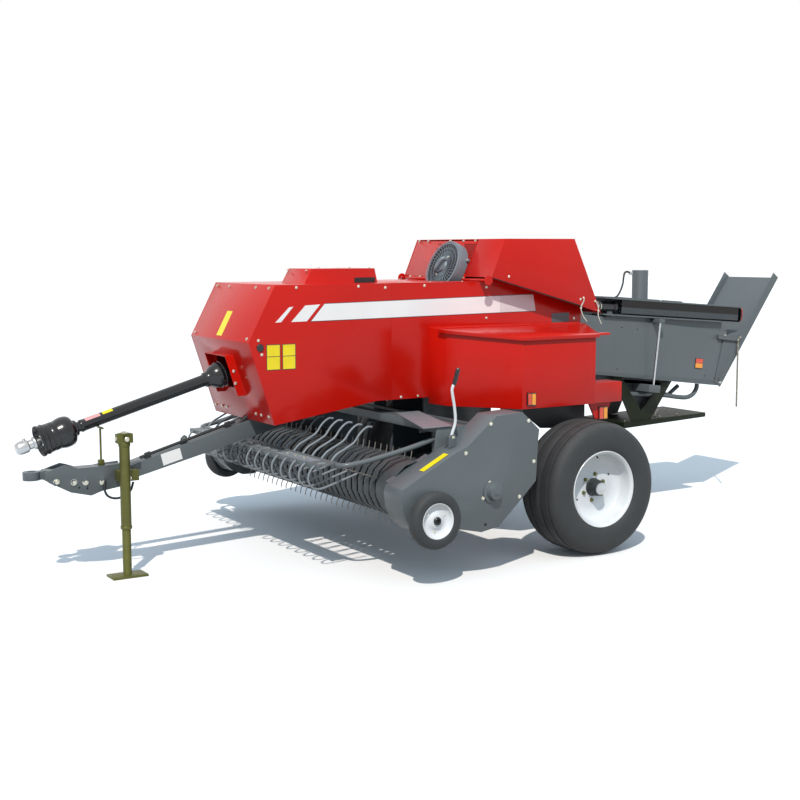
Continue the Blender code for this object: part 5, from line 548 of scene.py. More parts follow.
def smooth_shading() -> Tree:
    """Returns a modifier tree that shades curved faces smoothly and leaves edges over 32 degrees sharp."""
    tree = bpy.data.node_groups.new("smooth_curved_faces", "GeometryNodeTree")
    for way in ("INPUT", "OUTPUT"):
        tree.interface.new_socket("Geometry", in_out=way, socket_type="NodeSocketGeometry")
    entry = add_node(tree, "NodeGroupInput")
    angle = add_node(tree, "GeometryNodeInputMeshEdgeAngle")
    soft = add_node(tree, "FunctionNodeCompare", {"operation": "LESS_THAN", 1: math.radians(32.0)},
                    {0: angle.outputs[0]})
    edges = add_node(tree, "GeometryNodeSetShadeSmooth", {"domain": "EDGE"},
                     {0: entry.outputs[0], 2: soft.outputs[0]})
    whole = add_node(tree, "GeometryNodeSetShadeSmooth", {"domain": "FACE"}, {0: edges.outputs[0]})
    add_node(tree, "NodeGroupOutput", links={0: whole.outputs[0]})
    return tree


@dataclass(frozen=True)
class SheetAndFrame:
    """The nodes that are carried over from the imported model, with their finishes and rounded edges."""

    sheet_edge: float = 0.0012
    bar_edge: float = 0.003
    weld: float = 0.00002

    def finishes(self) -> dict[str, tuple[Finish, float]]:
        """Returns each carried-over node's finish and edge width."""
        sides = "side_shield_{0} twine_box_{0} twine_lid_{0}"
        groups = (
            (GREY, self.bar_edge, "frame_rails axle_beam drawbar hitch_head"),
            (OLIVE, self.sheet_edge, "jack_tube jack_leg shaft_rest"),
            (DARK, self.bar_edge, "driveline_block"),
            (DARK, self.sheet_edge, "knotter_deck"),
            (RED, self.sheet_edge, "front_hood shaft_guard_box top_cover knotter_front_panel knotter_hood"),
            (GREY, self.sheet_edge, "bale_chamber feed_housing tension_bars oil_tank chain_arm bale_chute "
                                    "pickup_frame"),
            (GREEN_BLACK, self.sheet_edge, "needle_guard"),
            # The stripper bands take the grey darkened as painted shade.
            (PAINTED_SHADE_GREY, self.sheet_edge, "stripper_bands"),
            (HOSE, 0.0, "drawbar_hose"),
            *((RED, self.sheet_edge, sides.format(label)) for label in SIDES),
            *((GREY, self.sheet_edge, f"tension_rail_{label} pickup_end_{label}") for label in SIDES),
        )
        return {name: (finish, width) for finish, width, names in groups for name in names.split()}

    def dress(self) -> None:
        """Gives every carried-over node its finish, rounded edges and smooth curved faces."""
        shading = smooth_shading()
        for name, (finish, width) in self.finishes().items():
            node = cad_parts[name]
            node.data.materials.clear()
            node.data.materials.append(finish.material())
            weld = node.modifiers.new("weld", "WELD")
            weld.merge_threshold = self.weld
            if width:
                round_edges(node, width).angle_limit = math.radians(40.0)
            node.modifiers.new("shading", "NODES").node_group = shading
            LOG.info("%s is finished in %s", name, finish.name)


@dataclass(frozen=True)
class MainWheel:
    """A main wheel: ribbed implement tyre on a deep white disc."""

    label: str
    centre_y: float = 1.02
    radius: float = 0.3935
    tread: Outline = mm("0 392.5, 40 392.4, 41.5 391.5, 43 381.5, 49 381.5, 50.5 391.3, 52 392, 104 389.2, "
                        "105.5 388, 107 379, 113 377, 115 385.8, 117 386, 134 379.5, 149 370, 160 357, "
                        "167.5 340, 171.2 320, 172.2 300, 171.2 280, 168 262.5, 162.5 247, 156.2 235, "
                        "151.5 228.5, 147.5 226.5")
    inner: Outline = mm("140 214, 125 213, 130 235, 146 265, 150 300, 144 340, 115 362, 0 368.5")
    disc: Outline = mm("147.5 226.2, 152.5 225.5, 154.5 223.5, 154.5 220.5, 151.5 216.5, 147 210.5, "
                       "143 206.5, 132 203.5, 112 201.5, 90 198.5, 74 192.5, 63 183, 56 169, 51.5 150, "
                       "50 125, 52 112, 53 100, 53 50, 45 50, 45 100, 42 125, 43.5 150, 48 170, 54 186, "
                       "30 193, -50 180, -112 193, -132 199, -143 202.5, -147.5 211, -154.5 220.5, "
                       "-154.5 223.5, -147.5 226.2, -143 215, -125 211, -70 190, 0 193, 90 208, 125 211, "
                       "143 215")
    hub: Outline = mm("-117 52, -50 56, 40 56, 56 54, 61 50, 82 49, 104 46, 112 41, 120 38.5, 121 36")
    cap: Outline = mm("118 36.5, 128 35.5, 130 32, 127 28, 126 0")
    bolt_circle: float = 0.0775
    bolts: int = 6

    def build(self) -> None:
        """Makes the tyre and the rim with its hub, bolts and valve."""
        side, body = SIDES[self.label], f"wheel_{self.label}"
        centre, way = at(0.0, side * self.centre_y, self.radius), LEFT * side
        tyre = Form()
        tyre.lathe(mirrored(self.tread) + mirrored(self.inner[::-1])[::-1], centre, way, 128, 0, loop=True)
        tyre.piece(f"tyre_{self.label}_ribbed", body, [RUBBER], "tyre_rubber", [f"tyre_{self.label}"])
        rim = Form()
        rim.lathe(self.disc, centre, way, 96, 0, loop=True)
        rim.lathe(self.hub, centre, way, 40, 1)
        rim.lathe(self.cap, centre, way, 40, 2)
        for number in range(self.bolts):
            out = spoke(way, math.tau * (number + 0.35) / self.bolts)
            foot = centre + way * 0.053 + out * self.bolt_circle
            rim.lathe(mm("-2 11.5, 2 11.5, 6 9.5"), foot, way, 20, 3)
            rim.lathe(mm("0 9.5, 12 9.5, 13.5 7.5"), foot, way, 6, 3)
        valve = way.to_track_quat("Z", "Y").to_matrix() @ Vector((0.0, 0.188, 0.078))
        rim.tube([centre + valve, centre + valve + way * 0.02 - valve.normalized() * 0.012], 0.0045, 10, 4)
        # Two small discs of painted shade on the disc's face, where its holes show dark.
        for angle in (0.5, 0.5 + math.pi):
            rim.rod(0.0, 0.0006, 0.006, centre + way * 0.0515 + spoke(way, angle) * 0.135, way, 16, 5)
        rim.piece(f"rim_{self.label}_dished", body, [WHITE, DARK, STEEL, OLIVE, HOSE, SHADOW], "rim_white",
                  [f"rim_{self.label}"])


@dataclass(frozen=True)
class GaugeWheel:
    """A small gauge wheel on the pickup's end, with a solid tyre and a white dished disc."""

    label: str
    centre: tuple[float, float, float] = (1.271, 1.318, 0.376)
    half: Outline = mm("0 153.8, 13 153.2, 22 150, 22.5 148.5, 24 148, 31 142.5, 36.5 131, 38.8 119, "
                       "38 107, 35 99.5, 31 96.5")
    disc: Outline = mm("31 96.2, 34 95.5, 34.5 93.5, 32 90, 27 87, 21 85, 13 79, 8 69, 6.5 56, 10 46, "
                       "17 39, 20 33, 20.5 16, -20.5 16, -20 33, -17 39, -10 46, -12 56, -13 69, -15 79, "
                       "-21 85, -27 87, -32 90, -34.5 93.5, -34 95.5, -31 96.2")
    bolts: int = 3

    def build(self) -> None:
        """Makes the tyre, disc and hub as one piece."""
        side = SIDES[self.label]
        x, y, z = self.centre
        centre, way = at(x, side * y, z), LEFT * side
        wheel = Form()
        wheel.lathe(mirrored(self.half) + mm("20 88, -20 88"), centre, way, 80, 0, loop=True)
        wheel.lathe(self.disc, centre, way, 64, 1, loop=True)
        wheel.lathe(mm("-30 22, 28 22, 30 20, 30 12.5, 20 12"), centre, way, 32, 2)
        # A disc of painted shade in the hub's bore.
        wheel.rod(0.012, 0.0215, 0.0118, centre, way, 24, 3)
        for number in range(self.bolts):
            out = spoke(way, math.tau * number / self.bolts + 0.4)
            wheel.bolt(centre + way * 0.0065 + out * 0.061, way, 0.011, 4)
        wheel.piece(f"gauge_wheel_{self.label}_dished", f"gauge_{self.label}",
                    [RUBBER, WHITE, DARK, SHADOW, PLATED], "tyre_rubber", [f"gauge_wheel_{self.label}"])


@dataclass(frozen=True)
class TineReel:
    """The pickup's reel: four bars of double spring tines between end spiders on a shaft."""

    x: float = 1.22
    z: float = 0.485
    bar_circle: float = 0.115
    tip: float = 0.209
    wire: float = 0.0029
    coil: float = 0.0155
    first: float = -0.891
    pitch: float = 0.066
    slots: int = 28
    bars: int = 4
    first_angle: float = math.radians(27.0)
    half: float = 0.925
    spiders: tuple[float, ...] = (-0.9, -0.3, 0.3, 0.9)

    def point(self, radius: float, swing: float, along: float) -> Vector:
        """Returns a point of the reel at a radius and angle."""
        return at(self.x + radius * math.cos(swing), along, self.z + radius * math.sin(swing))

    def tine(self, made: Form, y: float, angle: float) -> None:
        """Adds one tine: two turns of wire round its bar, then a bent finger out through the slot."""
        path = []
        centre = self.point(self.bar_circle, angle, 0.0)
        for step in range(17):
            turn = angle + math.tau * 2 * step / 16 - math.pi / 2
            across = y - 0.006 + 0.012 * step / 16
            path.append(centre + Vector((self.coil * math.cos(turn), across, self.coil * math.sin(turn))))
        path += [self.point(radius, angle - swing, y + shift) for radius, swing, shift in
                 ((0.135, 0.10, 0.006), (0.165, 0.075, 0.003), (0.188, 0.075, 0.0), (self.tip, 0.105, 0.0))]
        made.tube(path, self.wire, 6, 0)

    def build(self) -> None:
        """Makes the reel as one piece."""
        made = Form()
        for bar in range(self.bars):
            angle = self.first_angle + math.tau * bar / self.bars
            made.rod(-self.half, self.half, 0.0125, self.point(self.bar_circle, angle, 0.0), LEFT, 12, 1)
            for slot in range(self.slots):
                self.tine(made, self.first + self.pitch * slot, angle)
        shaft = at(self.x, 0.0, self.z)
        made.rod(-self.half, self.half, 0.027, shaft, LEFT, 20, 1)
        for place in self.spiders:
            made.rod(place - 0.004, place + 0.004, 0.138, shaft, LEFT, 32, 1)
        made.piece("tine_reel_sprung", "reel", [SPRING, DARK], "dark_steel", ["tine_reel"])


@dataclass(frozen=True)
class Auger:
    """A stub auger behind the reel's end, with a helical flight."""

    label: str
    x: float = 0.856
    z: float = 0.475
    core: float = 0.06
    flight: float = 0.1295
    thickness: float = 0.004
    inner: float = 0.502
    outer: float = 1.054
    turns: float = 2.0
    steps: int = 72

    def build(self) -> None:
        """Makes the core tube, its end discs and the flight."""
        side = SIDES[self.label]
        made = Form()
        made.rod(self.inner, self.outer, self.core, at(self.x, 0.0, self.z), LEFT * side, 40, 0)
        root = self.core * 0.98
        points = []
        for step in range(self.steps + 1):
            turn = side * math.tau * self.turns * step / self.steps
            y = side * (self.inner + 0.01 + (self.outer - self.inner - 0.03) * step / self.steps)
            for radius, shift in ((root, 0), (self.flight, 0), (self.flight, self.thickness),
                                  (root, self.thickness)):
                points.append(at(self.x + radius * math.cos(turn), y + shift,
                                 self.z + radius * math.sin(turn)))
        made.skin(points, 4)
        name = f"auger_{self.label}"
        made.piece(f"{name}_flighted", name, [DARK], "dark_steel", [name])


@dataclass(frozen=True)
class WindGuard:
    """The wind guard over the pickup: a bent tube with a bolted plate, hooked rods and curved rods."""

    bar_radius: float = 0.0145
    rod_radius: float = 0.0060
    pitch: float = 0.11
    count: int = 16
    arm: str = ("1050 1030 765, 1245 1012 714, 1440 980 668, 1530 965 652, 1595 945 643, 1620 900 640, "
                "1620 800 640, 1620 0 640")
    upper: Outline = mm("1622 645, 1585 684, 1530 712, 1475 742, 1443 782, 1415 808, 1388 822, 1362 820")
    lower: Outline = mm("1655 644, 1690 643, 1728 628, 1751 596, 1756 560, 1738 524, 1703 508, 1655 513, "
                        "1560 540, 1458 569")
    plate_bolts: tuple[float, ...] = (-0.55, -0.30, -0.05, 0.18, 0.42, 0.52, 0.62)

    def build(self) -> None:
        """Makes the bent tube, the plate with its bolts and the rods as one piece."""
        made = Form()
        for side, out in BOTH:
            path = spots(self.arm, side)
            made.tube(curve_through(path, 6), self.bar_radius, 16, 0)
            made.rod(-0.015, 0.015, 0.024, path[0], LEFT, 28, 0)
            made.bolt(path[0] + out * self.bar_radius, out, 0.018, 1)
            made.rod(-0.012, 0.012, 0.019, at(1.62, side * 0.875, 0.640), LEFT, 24, 0)
        for corners, thickness, finish in (
            ("1620 -880 640, 1720 -880 640, 1720 880 640, 1620 880 640", 0.0045, 0),
            ("1716 -880 640, 1720 -880 640, 1720 880 640, 1716 880 640", -0.022, 0),
            # The raised part takes the paler rod grey, a painted highlight on the plate's lit part.
            ("1632 360 644.5, 1716 360 644.5, 1716 700 644.5, 1690 740 644.5, 1632 740 644.5", 0.004, 2),
        ):
            made.slab(spots(corners), UP * thickness, finish)
        for y in self.plate_bolts:
            made.bolt(at(1.672, y, 0.6448 + (0.004 if y > 0.36 else 0.0)), UP, 0.016, 1)
        for number in range(self.count):
            y = (number - (self.count - 1) / 2) * self.pitch
            made.tube(curve_through(flat(y, self.lower), 3), self.rod_radius, 8, 3)
            if abs(y) > 0.1:
                made.tube(curve_through(flat(y, self.upper), 4), self.rod_radius, 8, 3)
        made.piece("wind_guard_rods", "wind_guard", [GREY, PLATED, ROD_GREY, ROD_GREY], "frame_grey",
                   ["wind_guard"])


@dataclass(frozen=True)
class DriveShaft:
    """The telescopic drive shaft in its black guards, with a bright yoke at the tractor's end."""

    joint: tuple[float, float, float] = (1.86, 0.0, 1.08)
    slope: float = math.radians(16.2)
    film_radius: float = 0.0341
    rear: Outline = mm("60 0, 60 58, 14 71.5, 12 74.5, 16 76.5, 24 76.5, 27 73.5, 36 73.5, 39 75.8, 46 75.5, "
                       "49 72.2, 60 71, 78 66.5, 94 57.5, 108 47, 118 43.5, 134 42.5, 137 38.5, 141 34.5, "
                       "150 33.8, 884 33.8, 886 35.2, 898 35.2, 900 34, 900 29.4, 870 29.4, 870 0")
    front: Outline = mm("630 0, 630 28.4, 918 28.4, 921 42, 926 45, 936 46, 940 50, 943 62, 950 74, "
                        "962 81.5, 980 85.5, 998 86.2, 1014 84, 1026 80.5, 1034 79, 1038 77.6, 1042 79, "
                        "1066 79.5, 1070 78, 1074 79.7, 1098 80.8, 1102 85, 1108 85.7, 1112 82.2, "
                        "1124 82.5, 1128 86.8, 1138 87.2, 1140 85.5, 1136 82, 1066 74, 1066 0")
    yoke: Outline = mm("1064 30, 1125 30, 1128 24, 1150 24, 1153 33.5, 1158 35.5, 1166 35.5, 1170 33.5, "
                       "1174 26.5, 1196 25.8, 1200 30.5, 1204 35.2, 1214 36.5, 1240 36.5, 1252 34.5, "
                       "1262 30, 1267.5 24, 1267.5 0")

    def along(self, reach: float) -> Vector:
        """Returns the point of the shaft's axis at a distance from its joint."""
        return at(*self.joint) + self.way() * reach

    def way(self) -> Vector:
        """Returns the shaft's direction."""
        return Vector((math.cos(self.slope), 0.0, -math.sin(self.slope)))

    def rise(self) -> Vector:
        """Returns the direction square to the shaft in the machine's middle plane."""
        return self.way().cross(LEFT)

    def wrap(self, made: Form, start: float, end: float, low: float, high: float, finish: int) -> None:
        """Wraps a thin film round part of the guard tube.

        Args:
            made: the form that it goes into.
            start: its first distance from the joint.
            end: its last distance.
            low: its first angle from straight up, in degrees, towards the left.
            high: its last angle.
            finish: the number of its finish.
        """
        points = []
        for step in range(7):
            angle = math.radians(low + (high - low) * step / 6)
            out = (self.rise() * math.cos(angle) + LEFT * math.sin(angle)) * self.film_radius
            points += [self.along(start) + out, self.along(end) + out]
        made.add(points, [[step, step + 1, step + 3, step + 2] for step in range(0, 12, 2)], finish)

    def build(self) -> None:
        """Makes the rear half with its labels, and the front half with the bell and the yoke."""
        base, way = self.along(0.0), self.way()
        tail, nose = Form(), Form()
        tail.lathe(self.rear, base, way, 56, 0)
        self.wrap(tail, 0.78, 0.868, 8.0, 50.0, 1)
        self.wrap(tail, 0.705, 0.765, 2.0, 46.0, 2)
        tail.piece("drive_shaft_rear_guarded", "drive_shaft", [PLASTIC, PINK_FILM, YELLOW_FILM],
                   "black_plastic", ["drive_shaft_rear"])
        nose.lathe(self.front, base, way, 64, 0)
        nose.lathe(self.yoke, base, way, 40, 1)
        pin = self.along(1.212)
        nose.tube([pin + self.rise() * 0.02, pin + self.rise() * 0.044], [0.0085, 0.0075], 14, 1)
        nose.lathe(mm("0 6, 4 6, 6 4"), self.along(0.992) + LEFT * 0.0855, LEFT, 12, 0)
        nose.piece("drive_shaft_front_belled", "drive_shaft_front", [PLASTIC, STEEL], "black_plastic",
                   ["drive_shaft_front"])


@dataclass(frozen=True)
class Fan:
    """The cleaning fan on the leaning panel: ribbed cover with a handle, and a bladed rotor."""

    centre: tuple[float, float, float] = (-0.0286, 0.03, 1.6556)
    rim: Outline = mm("62.5 148, 62.5 156.2, 68.5 156.2, 71 153, 71 148")
    hub: Outline = mm("62.5 0, 62.5 44, 70 44, 74 40, 80 36, 83 0")
    back: Outline = mm("62.8 40, 62.8 150, 64 150, 64 40")
    grip: Outline = mm("70 46, 94 43, 102 26, 102 0")
    sleeve: Outline = mm("2 165.2, 2 167.5, 58 167.5, 60 166.2, 71.5 166.2, 71.5 157.5, 70.2 157.5, "
                         "70.2 165.2")
    ring_radii: tuple[float, ...] = (0.062, 0.092, 0.121)
    grip_angles: tuple[float, float] = (math.radians(-118.0), math.radians(62.0))
    ribs: int = 40
    blades: int = 7

    def place(self, along: float, radius: float, angle: float) -> Vector:
        """Returns a point by its distance from the panel, radius and angle."""
        out = LEFT * math.cos(angle) + PANEL_WAY.cross(LEFT) * math.sin(angle)
        return Vector(self.centre) + PANEL_WAY * along + out * radius

    def cover(self) -> None:
        """Makes the ribbed cover with its handle."""
        made, way, centre = Form(), PANEL_WAY, Vector(self.centre)
        made.lathe(self.rim, centre, way, 72, 0, loop=True)
        for radius in self.ring_radii:
            low, high = radius - 0.0016, radius + 0.0016
            made.lathe(rect(0.064, low, 0.0675, high), centre, way, 56, 0, loop=True)
        made.lathe(self.hub, centre, way, 40, 0)
        # A dark disc of painted shade behind the cover's ribs.
        made.lathe(self.back, centre, way, 72, 2, loop=True)
        for rib in range(self.ribs):
            angle = math.tau * rib / self.ribs
            made.tube([self.place(0.068, 0.042 + 0.108 * part, angle + 0.16 * part**2)
                       for part in (step / 5 for step in range(6))], 0.0024, 6, 0)
        first, last = self.grip_angles
        grip = [self.place(along, radius, first) for along, radius in self.grip]
        grip += [self.place(along, radius, last) for along, radius in self.grip[-2::-1]]
        made.tube(curve_through(grip, 4), 0.0135, 10, 0)
        made.bolts([self.place(0.0675, 0.066, angle) for angle in self.grip_angles], way, 0.016, 1)
        made.piece("fan_guard_ribbed", "machine", [NYLON, PLATED, SHADOW], "black_plastic", ["fan_guard"])

    def build(self) -> None:
        """Makes the cover, the dark sleeve on the ring, and the rotor."""
        self.cover()
        sleeve, rotor, way, centre = Form(), Form(), PANEL_WAY, Vector(self.centre)
        sleeve.lathe(self.sleeve, centre, way, 72, 0, loop=True)
        for angle in (20.0, 140.0, 260.0):
            foot = self.place(0.004, 0.176, math.radians(angle))
            sleeve.lathe(mm("-3 11, 12 11, 14 9"), foot, way, 16, 0)
            sleeve.bolt(foot + way * 0.013, way, 0.013, 1)
        sleeve.piece("fan_sleeve", "machine", [NYLON, PLATED], "black_plastic", bevel=0.0008)
        rotor.lathe(mm("16 36, 46 36, 51.5 28, 51.5 0"), centre, way, 32, 0)
        for blade in range(self.blades):
            turn = math.tau * blade / self.blades
            points = []
            for radius in (0.032, 0.08, 0.115, 0.150):
                spread = 0.19 + 0.10 * radius / 0.15
                for along, swing in ((0.018, -spread), (0.020, -spread), (0.046, spread), (0.044, spread)):
                    points.append(self.place(along, radius, turn + swing))
            rotor.skin(points, 4)
        rotor.piece("fan_rotor_bladed", "fan", [NYLON], "black_plastic", ["fan_rotor"])


@dataclass(frozen=True)
class HoodTrim:
    """Stripes, blank films, bolts and small fittings on the front hood and the side shields."""

    film: float = 0.0006
    skin: float = HOOD_SKIN - 0.0003
    stripes: tuple[tuple[Outline, float, int], ...] = (
        (mm("1733 1382, 1697 1384, 1620 1468, 1647 1465"), 0.0, 0),
        (mm("1634 1383, 1536 1384, 1450 1477, 1545 1473"), 0.0, 0),
        (mm("1516 1380.5, -79 1398.5, -51.5 1507.5, 1419.5 1482.5"), 0.0, 2),
        (mm("1508 1384, -75 1402, -55 1504, 1422 1479"), 0.0005, 0),
        (mm("200 1398.8, -75 1402, -55 1504, 200 1499.9"), 0.0009, 3),
    )
    labels: tuple[tuple[float, float], ...] = ((1.790, 1.704), (1.692, 1.608))
    side_bolts: Outline = mm("1838 1287, 1818 1208, 915 918, 796 918, 302 1556, 301 1367, -383 1347, "
                             "1600 1575, 1200 1575, 750 1572, 1020 1565")
    upper_low: Vector = Vector((1.898, 0.0, 1.276))
    upper_high: Vector = Vector((1.731, 0.0, 1.59))
    upper_way: Vector = Vector((0.314, 0.0, 0.167)).normalized()
    lower_way: Vector = Vector((0.469, 0.0, -0.153)).normalized()

    def upper(self, y: float, share: float) -> Vector:
        """Returns a point of the hood's upper front face."""
        point = self.upper_low.lerp(self.upper_high, share)
        return at(point.x, y, point.z) + self.upper_way * 0.0002

    def films(self) -> None:
        """Makes the stripes, the warning labels and the front's blank label."""
        made = Form()
        for side in SIDES.values():
            for outline, lift, finish in self.stripes:
                made.plate(side * (HOOD_SKIN + lift), outline, side * self.film, finish)
            for near, far in self.labels:
                made.plate(side * HOOD_SKIN, rect(near, 1.262, far, 1.118), side * self.film, 2)
                for top, low in ((1.258, 1.196), (1.192, 1.122)):
                    made.plate(side * (HOOD_SKIN + 0.0006), rect(near - 0.004, top, far + 0.004, low),
                               side * self.film, 1)
        made.slab([self.upper(y, share) for y, share in mm("-50 60, 22 60, 22 500, -50 500")],
                  self.upper_way * self.film, 1)
        made.piece("hood_films", "machine", [WHITE_FILM, YELLOW_FILM, LINE_FILM, GREY_FILM], "body_red")

    def build(self) -> None:
        """Makes the films and the fittings of both sides and of the front."""
        self.films()
        made = Form()
        for side, out in BOTH:
            y = side * self.skin
            made.lathe(mm("0 21, 6 21, 9 18, 9 0"), at(1.829, y, 1.247), out, 28, 1)
            made.bolts(flat(y, self.side_bolts), out, 0.0125, 0)
            made.plate(y, mm("-203 1382, -343 1384, -343 1318, -203 1318"), side * 0.0012, 2)
            made.bolts(spots("1860 145.2 1030, 1870 145.2 1100", side), out, 0.0145, 0)
        made.bolts([self.upper(y, share) for y, share in
                    mm("350 940, 180 940, -180 940, -350 940, 365 60, -365 60")], self.upper_way, 0.0145, 0)
        made.bolts([at(1.7603, y, 0.8539) + self.lower_way * 0.0003 for y in
                    (-0.365, -0.27, 0.27, 0.365, 0.20, -0.20)], self.lower_way, 0.0145, 0)
        made.bolts([at(x, y, z) for y in (0.24, 0.0) for x, z in mm("1030 1674.8, 1240 1674.8, 1450 1665")],
                   UP, 0.012, 0)
        made.plate(0.2702, rect(1.010, 1.592, 1.150, 1.622), 0.001, 3)
        made.bolts([at(x, y, 1.5898) for x in (0.45, 0.68, 0.90) for y in (-0.36, 0.36)], UP, 0.0125, 0)
        made.piece("hood_fittings", "machine", [PLATED, PLASTIC, GREY, MESH], "bare_steel")


@dataclass(frozen=True)
class KnotterTrim:
    """The knotter hood's vents, bolts and hinges, and the panel round the fan."""

    foot: tuple[float, float] = (0.327, 1.616)
    head: tuple[float, float] = (0.228, 1.848)
    skin: float = 0.0008
    vent: tuple[float, float] = (0.0022, 0.042)
    upstand: Outline = mm("312 1580, 312 1612, 262 1624, -372 1450, -372 1438, 290 1578")
    seam: Outline = mm("318 1614.5, 324 1610, -368 1424, -368 1432")
    grid: int = 14

    def leaning(self, y: float, share: float) -> Vector:
        """Returns a point of the leaning front by its width and its share of the height."""
        x, z = (low + (high - low) * share for low, high in zip(self.foot, self.head))
        return at(x, y, z) + PANEL_WAY * self.skin

    def panel(self) -> None:
        """Makes the vents round the fan as slots of painted shade, small discs of painted shade for holes,
        and the bolts of the fixed panel.
        """
        made = Form()
        half, tall = self.vent
        for column in range(self.grid):
            y = 0.208 - 0.0095 * column
            for row in range(self.grid):
                low = 0.08 + 0.058 * row
                if (y - 0.03) ** 2 + (0.252 * (low + 0.02 - 0.171)) ** 2 < 0.0285:
                    continue
                # A thin near-black slab of painted shade in each vent's opening.
                made.slab([self.leaning(y + across, low + up) for across, up in rect(-half, 0.0, half, tall)],
                          PANEL_WAY * 0.0005, 0)
        # Small discs of painted shade for holes.
        for y in (-0.165, -0.19, -0.215):
            for share in (0.62, 0.74, 0.86):
                made.rod(0.0, 0.0005, 0.005, self.leaning(y, share), PANEL_WAY, 12, 0)
        made.bolts([self.leaning(y, share) for y, share in
                    mm("190 955, 60 955, -90 955, -350 955, -460 955, -420 -40, -300 -40, 200 -40")],
                   PANEL_WAY, 0.014, 1)
        made.piece("knotter_panel_vents", "machine", [SHADOW, PLATED], "body_red")

    def build(self) -> None:
        """Makes the panel's vents, the hinges, the upstand under the hood, and the hood's bolts with a strip
        of painted shade along each lower edge.
        """
        self.panel()
        hinges, stand, lid = Form(), Form(), Form()
        for y in (0.27, 0.43, -0.49):
            hinges.bar(at(0.318, y - 0.032, 1.5912), at(0.346, y + 0.032, 1.5955), 0)
            hinges.rod(-0.034, 0.034, 0.0075, at(0.345, y, 1.5995), LEFT, 16, 0)
        hinges.piece("knotter_hood_hinges", "machine", [PLASTIC], "black_plastic", bevel=0.001)
        for side, out in BOTH:
            stand.plate(side * 0.4, self.upstand, side * 0.004)
            lid.bolts(flat(side * 0.4972, mm("200 1620, -360 1470")), out, 0.012, 1)
            # A thin near-black strip of painted shade along the hood's lower edge.
            lid.plate(side * 0.4968, self.seam, side * 0.0008)
        stand.piece("knotter_upstand", "machine", [RED], "body_red")
        lid.piece("knotter_hood_bolts_and_painted_shade", "knotter_hood", [SHADOW, PLATED], "body_red")


@dataclass(frozen=True)
class TwineBoxTrim:
    """Reflectors and inner sheet of one twine box, and the wire hooks above it."""

    label: str
    tail_y: float = 0.9124
    hook_y: float = 0.5015
    hooks: tuple[Outline, ...] = (
        mm("-385 1478, -380 1455, -360 1416, -378 1365, -409 1330"),
        mm("-480 1455, -500 1420, -501 1395, -504 1356, -528 1310"),
    )

    def build(self) -> None:
        """Makes the fittings that stay on the machine and those that move with the knotter hood."""
        side = SIDES[self.label]
        out = LEFT * side
        made = Form()
        made.plate(side * 0.80, mm("313 866, -151 866, -151 756, 88 718, 186 725, 313 818"), side * 0.004, 4)
        lamp = flat(side * 0.9505, mm("400 963, 338 960, 338 884, 400 888"))
        made.slab(lamp, out * 0.008, 1)
        for first, last, slot in ((0.08, 0.46, 3), (0.54, 0.94, 2)):
            lens = [lamp[0].lerp(lamp[1], share).lerp(lamp[3].lerp(lamp[2], share), height) + out * 0.0078
                    for share, height in rect(first, 0.08, last, 0.92)]
            made.slab(lens, out * 0.002, slot)
        made.plate(side * self.tail_y, rect(-0.168, 0.842, -0.236, 0.764), side * 0.006, 1)
        for near, far, slot in ((-0.173, -0.202, 3), (-0.207, -0.232, 2)):
            made.plate(side * (self.tail_y + 0.0058), rect(near, 0.838, far, 0.768), side * 0.002, slot)
        made.piece(f"twine_box_{self.label}_trim", "machine", [PLATED, PLASTIC, AMBER, RED_LENS, DARK],
                   "bare_steel", bevel=0.0004)
        wires = Form()
        for outline in self.hooks:
            path = flat(side * self.hook_y, outline)
            wires.tube(curve_through(path, 5), 0.0042, 8, 0)
            wires.bolt(path[0] - out * 0.0042, out, 0.012, 0)
            wires.rod(-0.004, 0.004, 0.0075, path[2], out, 12, 0)
        wires.piece(f"wire_hooks_{self.label}", "knotter_hood", [PLATED], "bare_steel")


@dataclass(frozen=True)
class DrawbarTrim:
    """Blank plate, pins, bolts, clamp and hose ends on the drawbar and the hitch head."""

    half: float = 0.0622
    head_half: float = 0.0502
    head_bolts: Outline = mm("2880 541, 2784 532, 2719 527, 2623 518")
    loop: str = ("2612 58 530, 2620 64 495, 2612 68 455, 2588 70 432, 2548 71 424, 2505 70 434, 2470 68 462, "
                 "2452 62 505")
    rear_hose: str = "1830 35 760, 1800 35 776, 1760 50 815, 1700 70 862, 1640 80 900"

    def build(self) -> None:
        """Makes the drawbar's fittings, the hitch's bolts and the short hoses."""
        made, hoses = Form(), Form()
        made.plate(self.half, mm("2289 645, 2173 673, 2157 610, 2272 580"), 0.001, 0)
        for side, out in BOTH:
            made.bolts(flat(side * self.head_half, self.head_bolts), out, 0.027, 1)
            # Discs of painted shade for the holes in the drawbar's and the hitch head's sides.
            made.rod(0.0, 0.0012, 0.0125, at(2.445, side * self.half, 0.545), out, 20, 2)
            for centre in flat(side * self.head_half, mm("2755 500, 2710 492")):
                made.rod(0.0, 0.0010, 0.006, centre, out, 14, 2)
        made.plate(0.008, mm("2110 686, 2155 675, 2145 722, 2125 738, 2108 728"), 0.008, 3)
        made.rod(-0.010, 0.012, 0.008, at(2.128, 0.012, 0.715), LEFT, 14, 1)
        made.piece("drawbar_fittings", "machine", [WHITE_FILM, PLATED, SHADOW, GREY], "bare_steel",
                   bevel=0.0006)
        hoses.tube(curve_through(spots(self.loop), 6), 0.0065, 12, 0)
        hoses.rod(-0.016, 0.016, 0.0098, at(2.395, 0.035, 0.606), Vector((0.967, 0.0, -0.254)), 12, 1)
        hoses.tube(curve_through(spots(self.rear_hose), 6), 0.009, 12, 0)
        hoses.piece("drawbar_hose_ends", "machine", [HOSE, STEEL], "black_plastic")


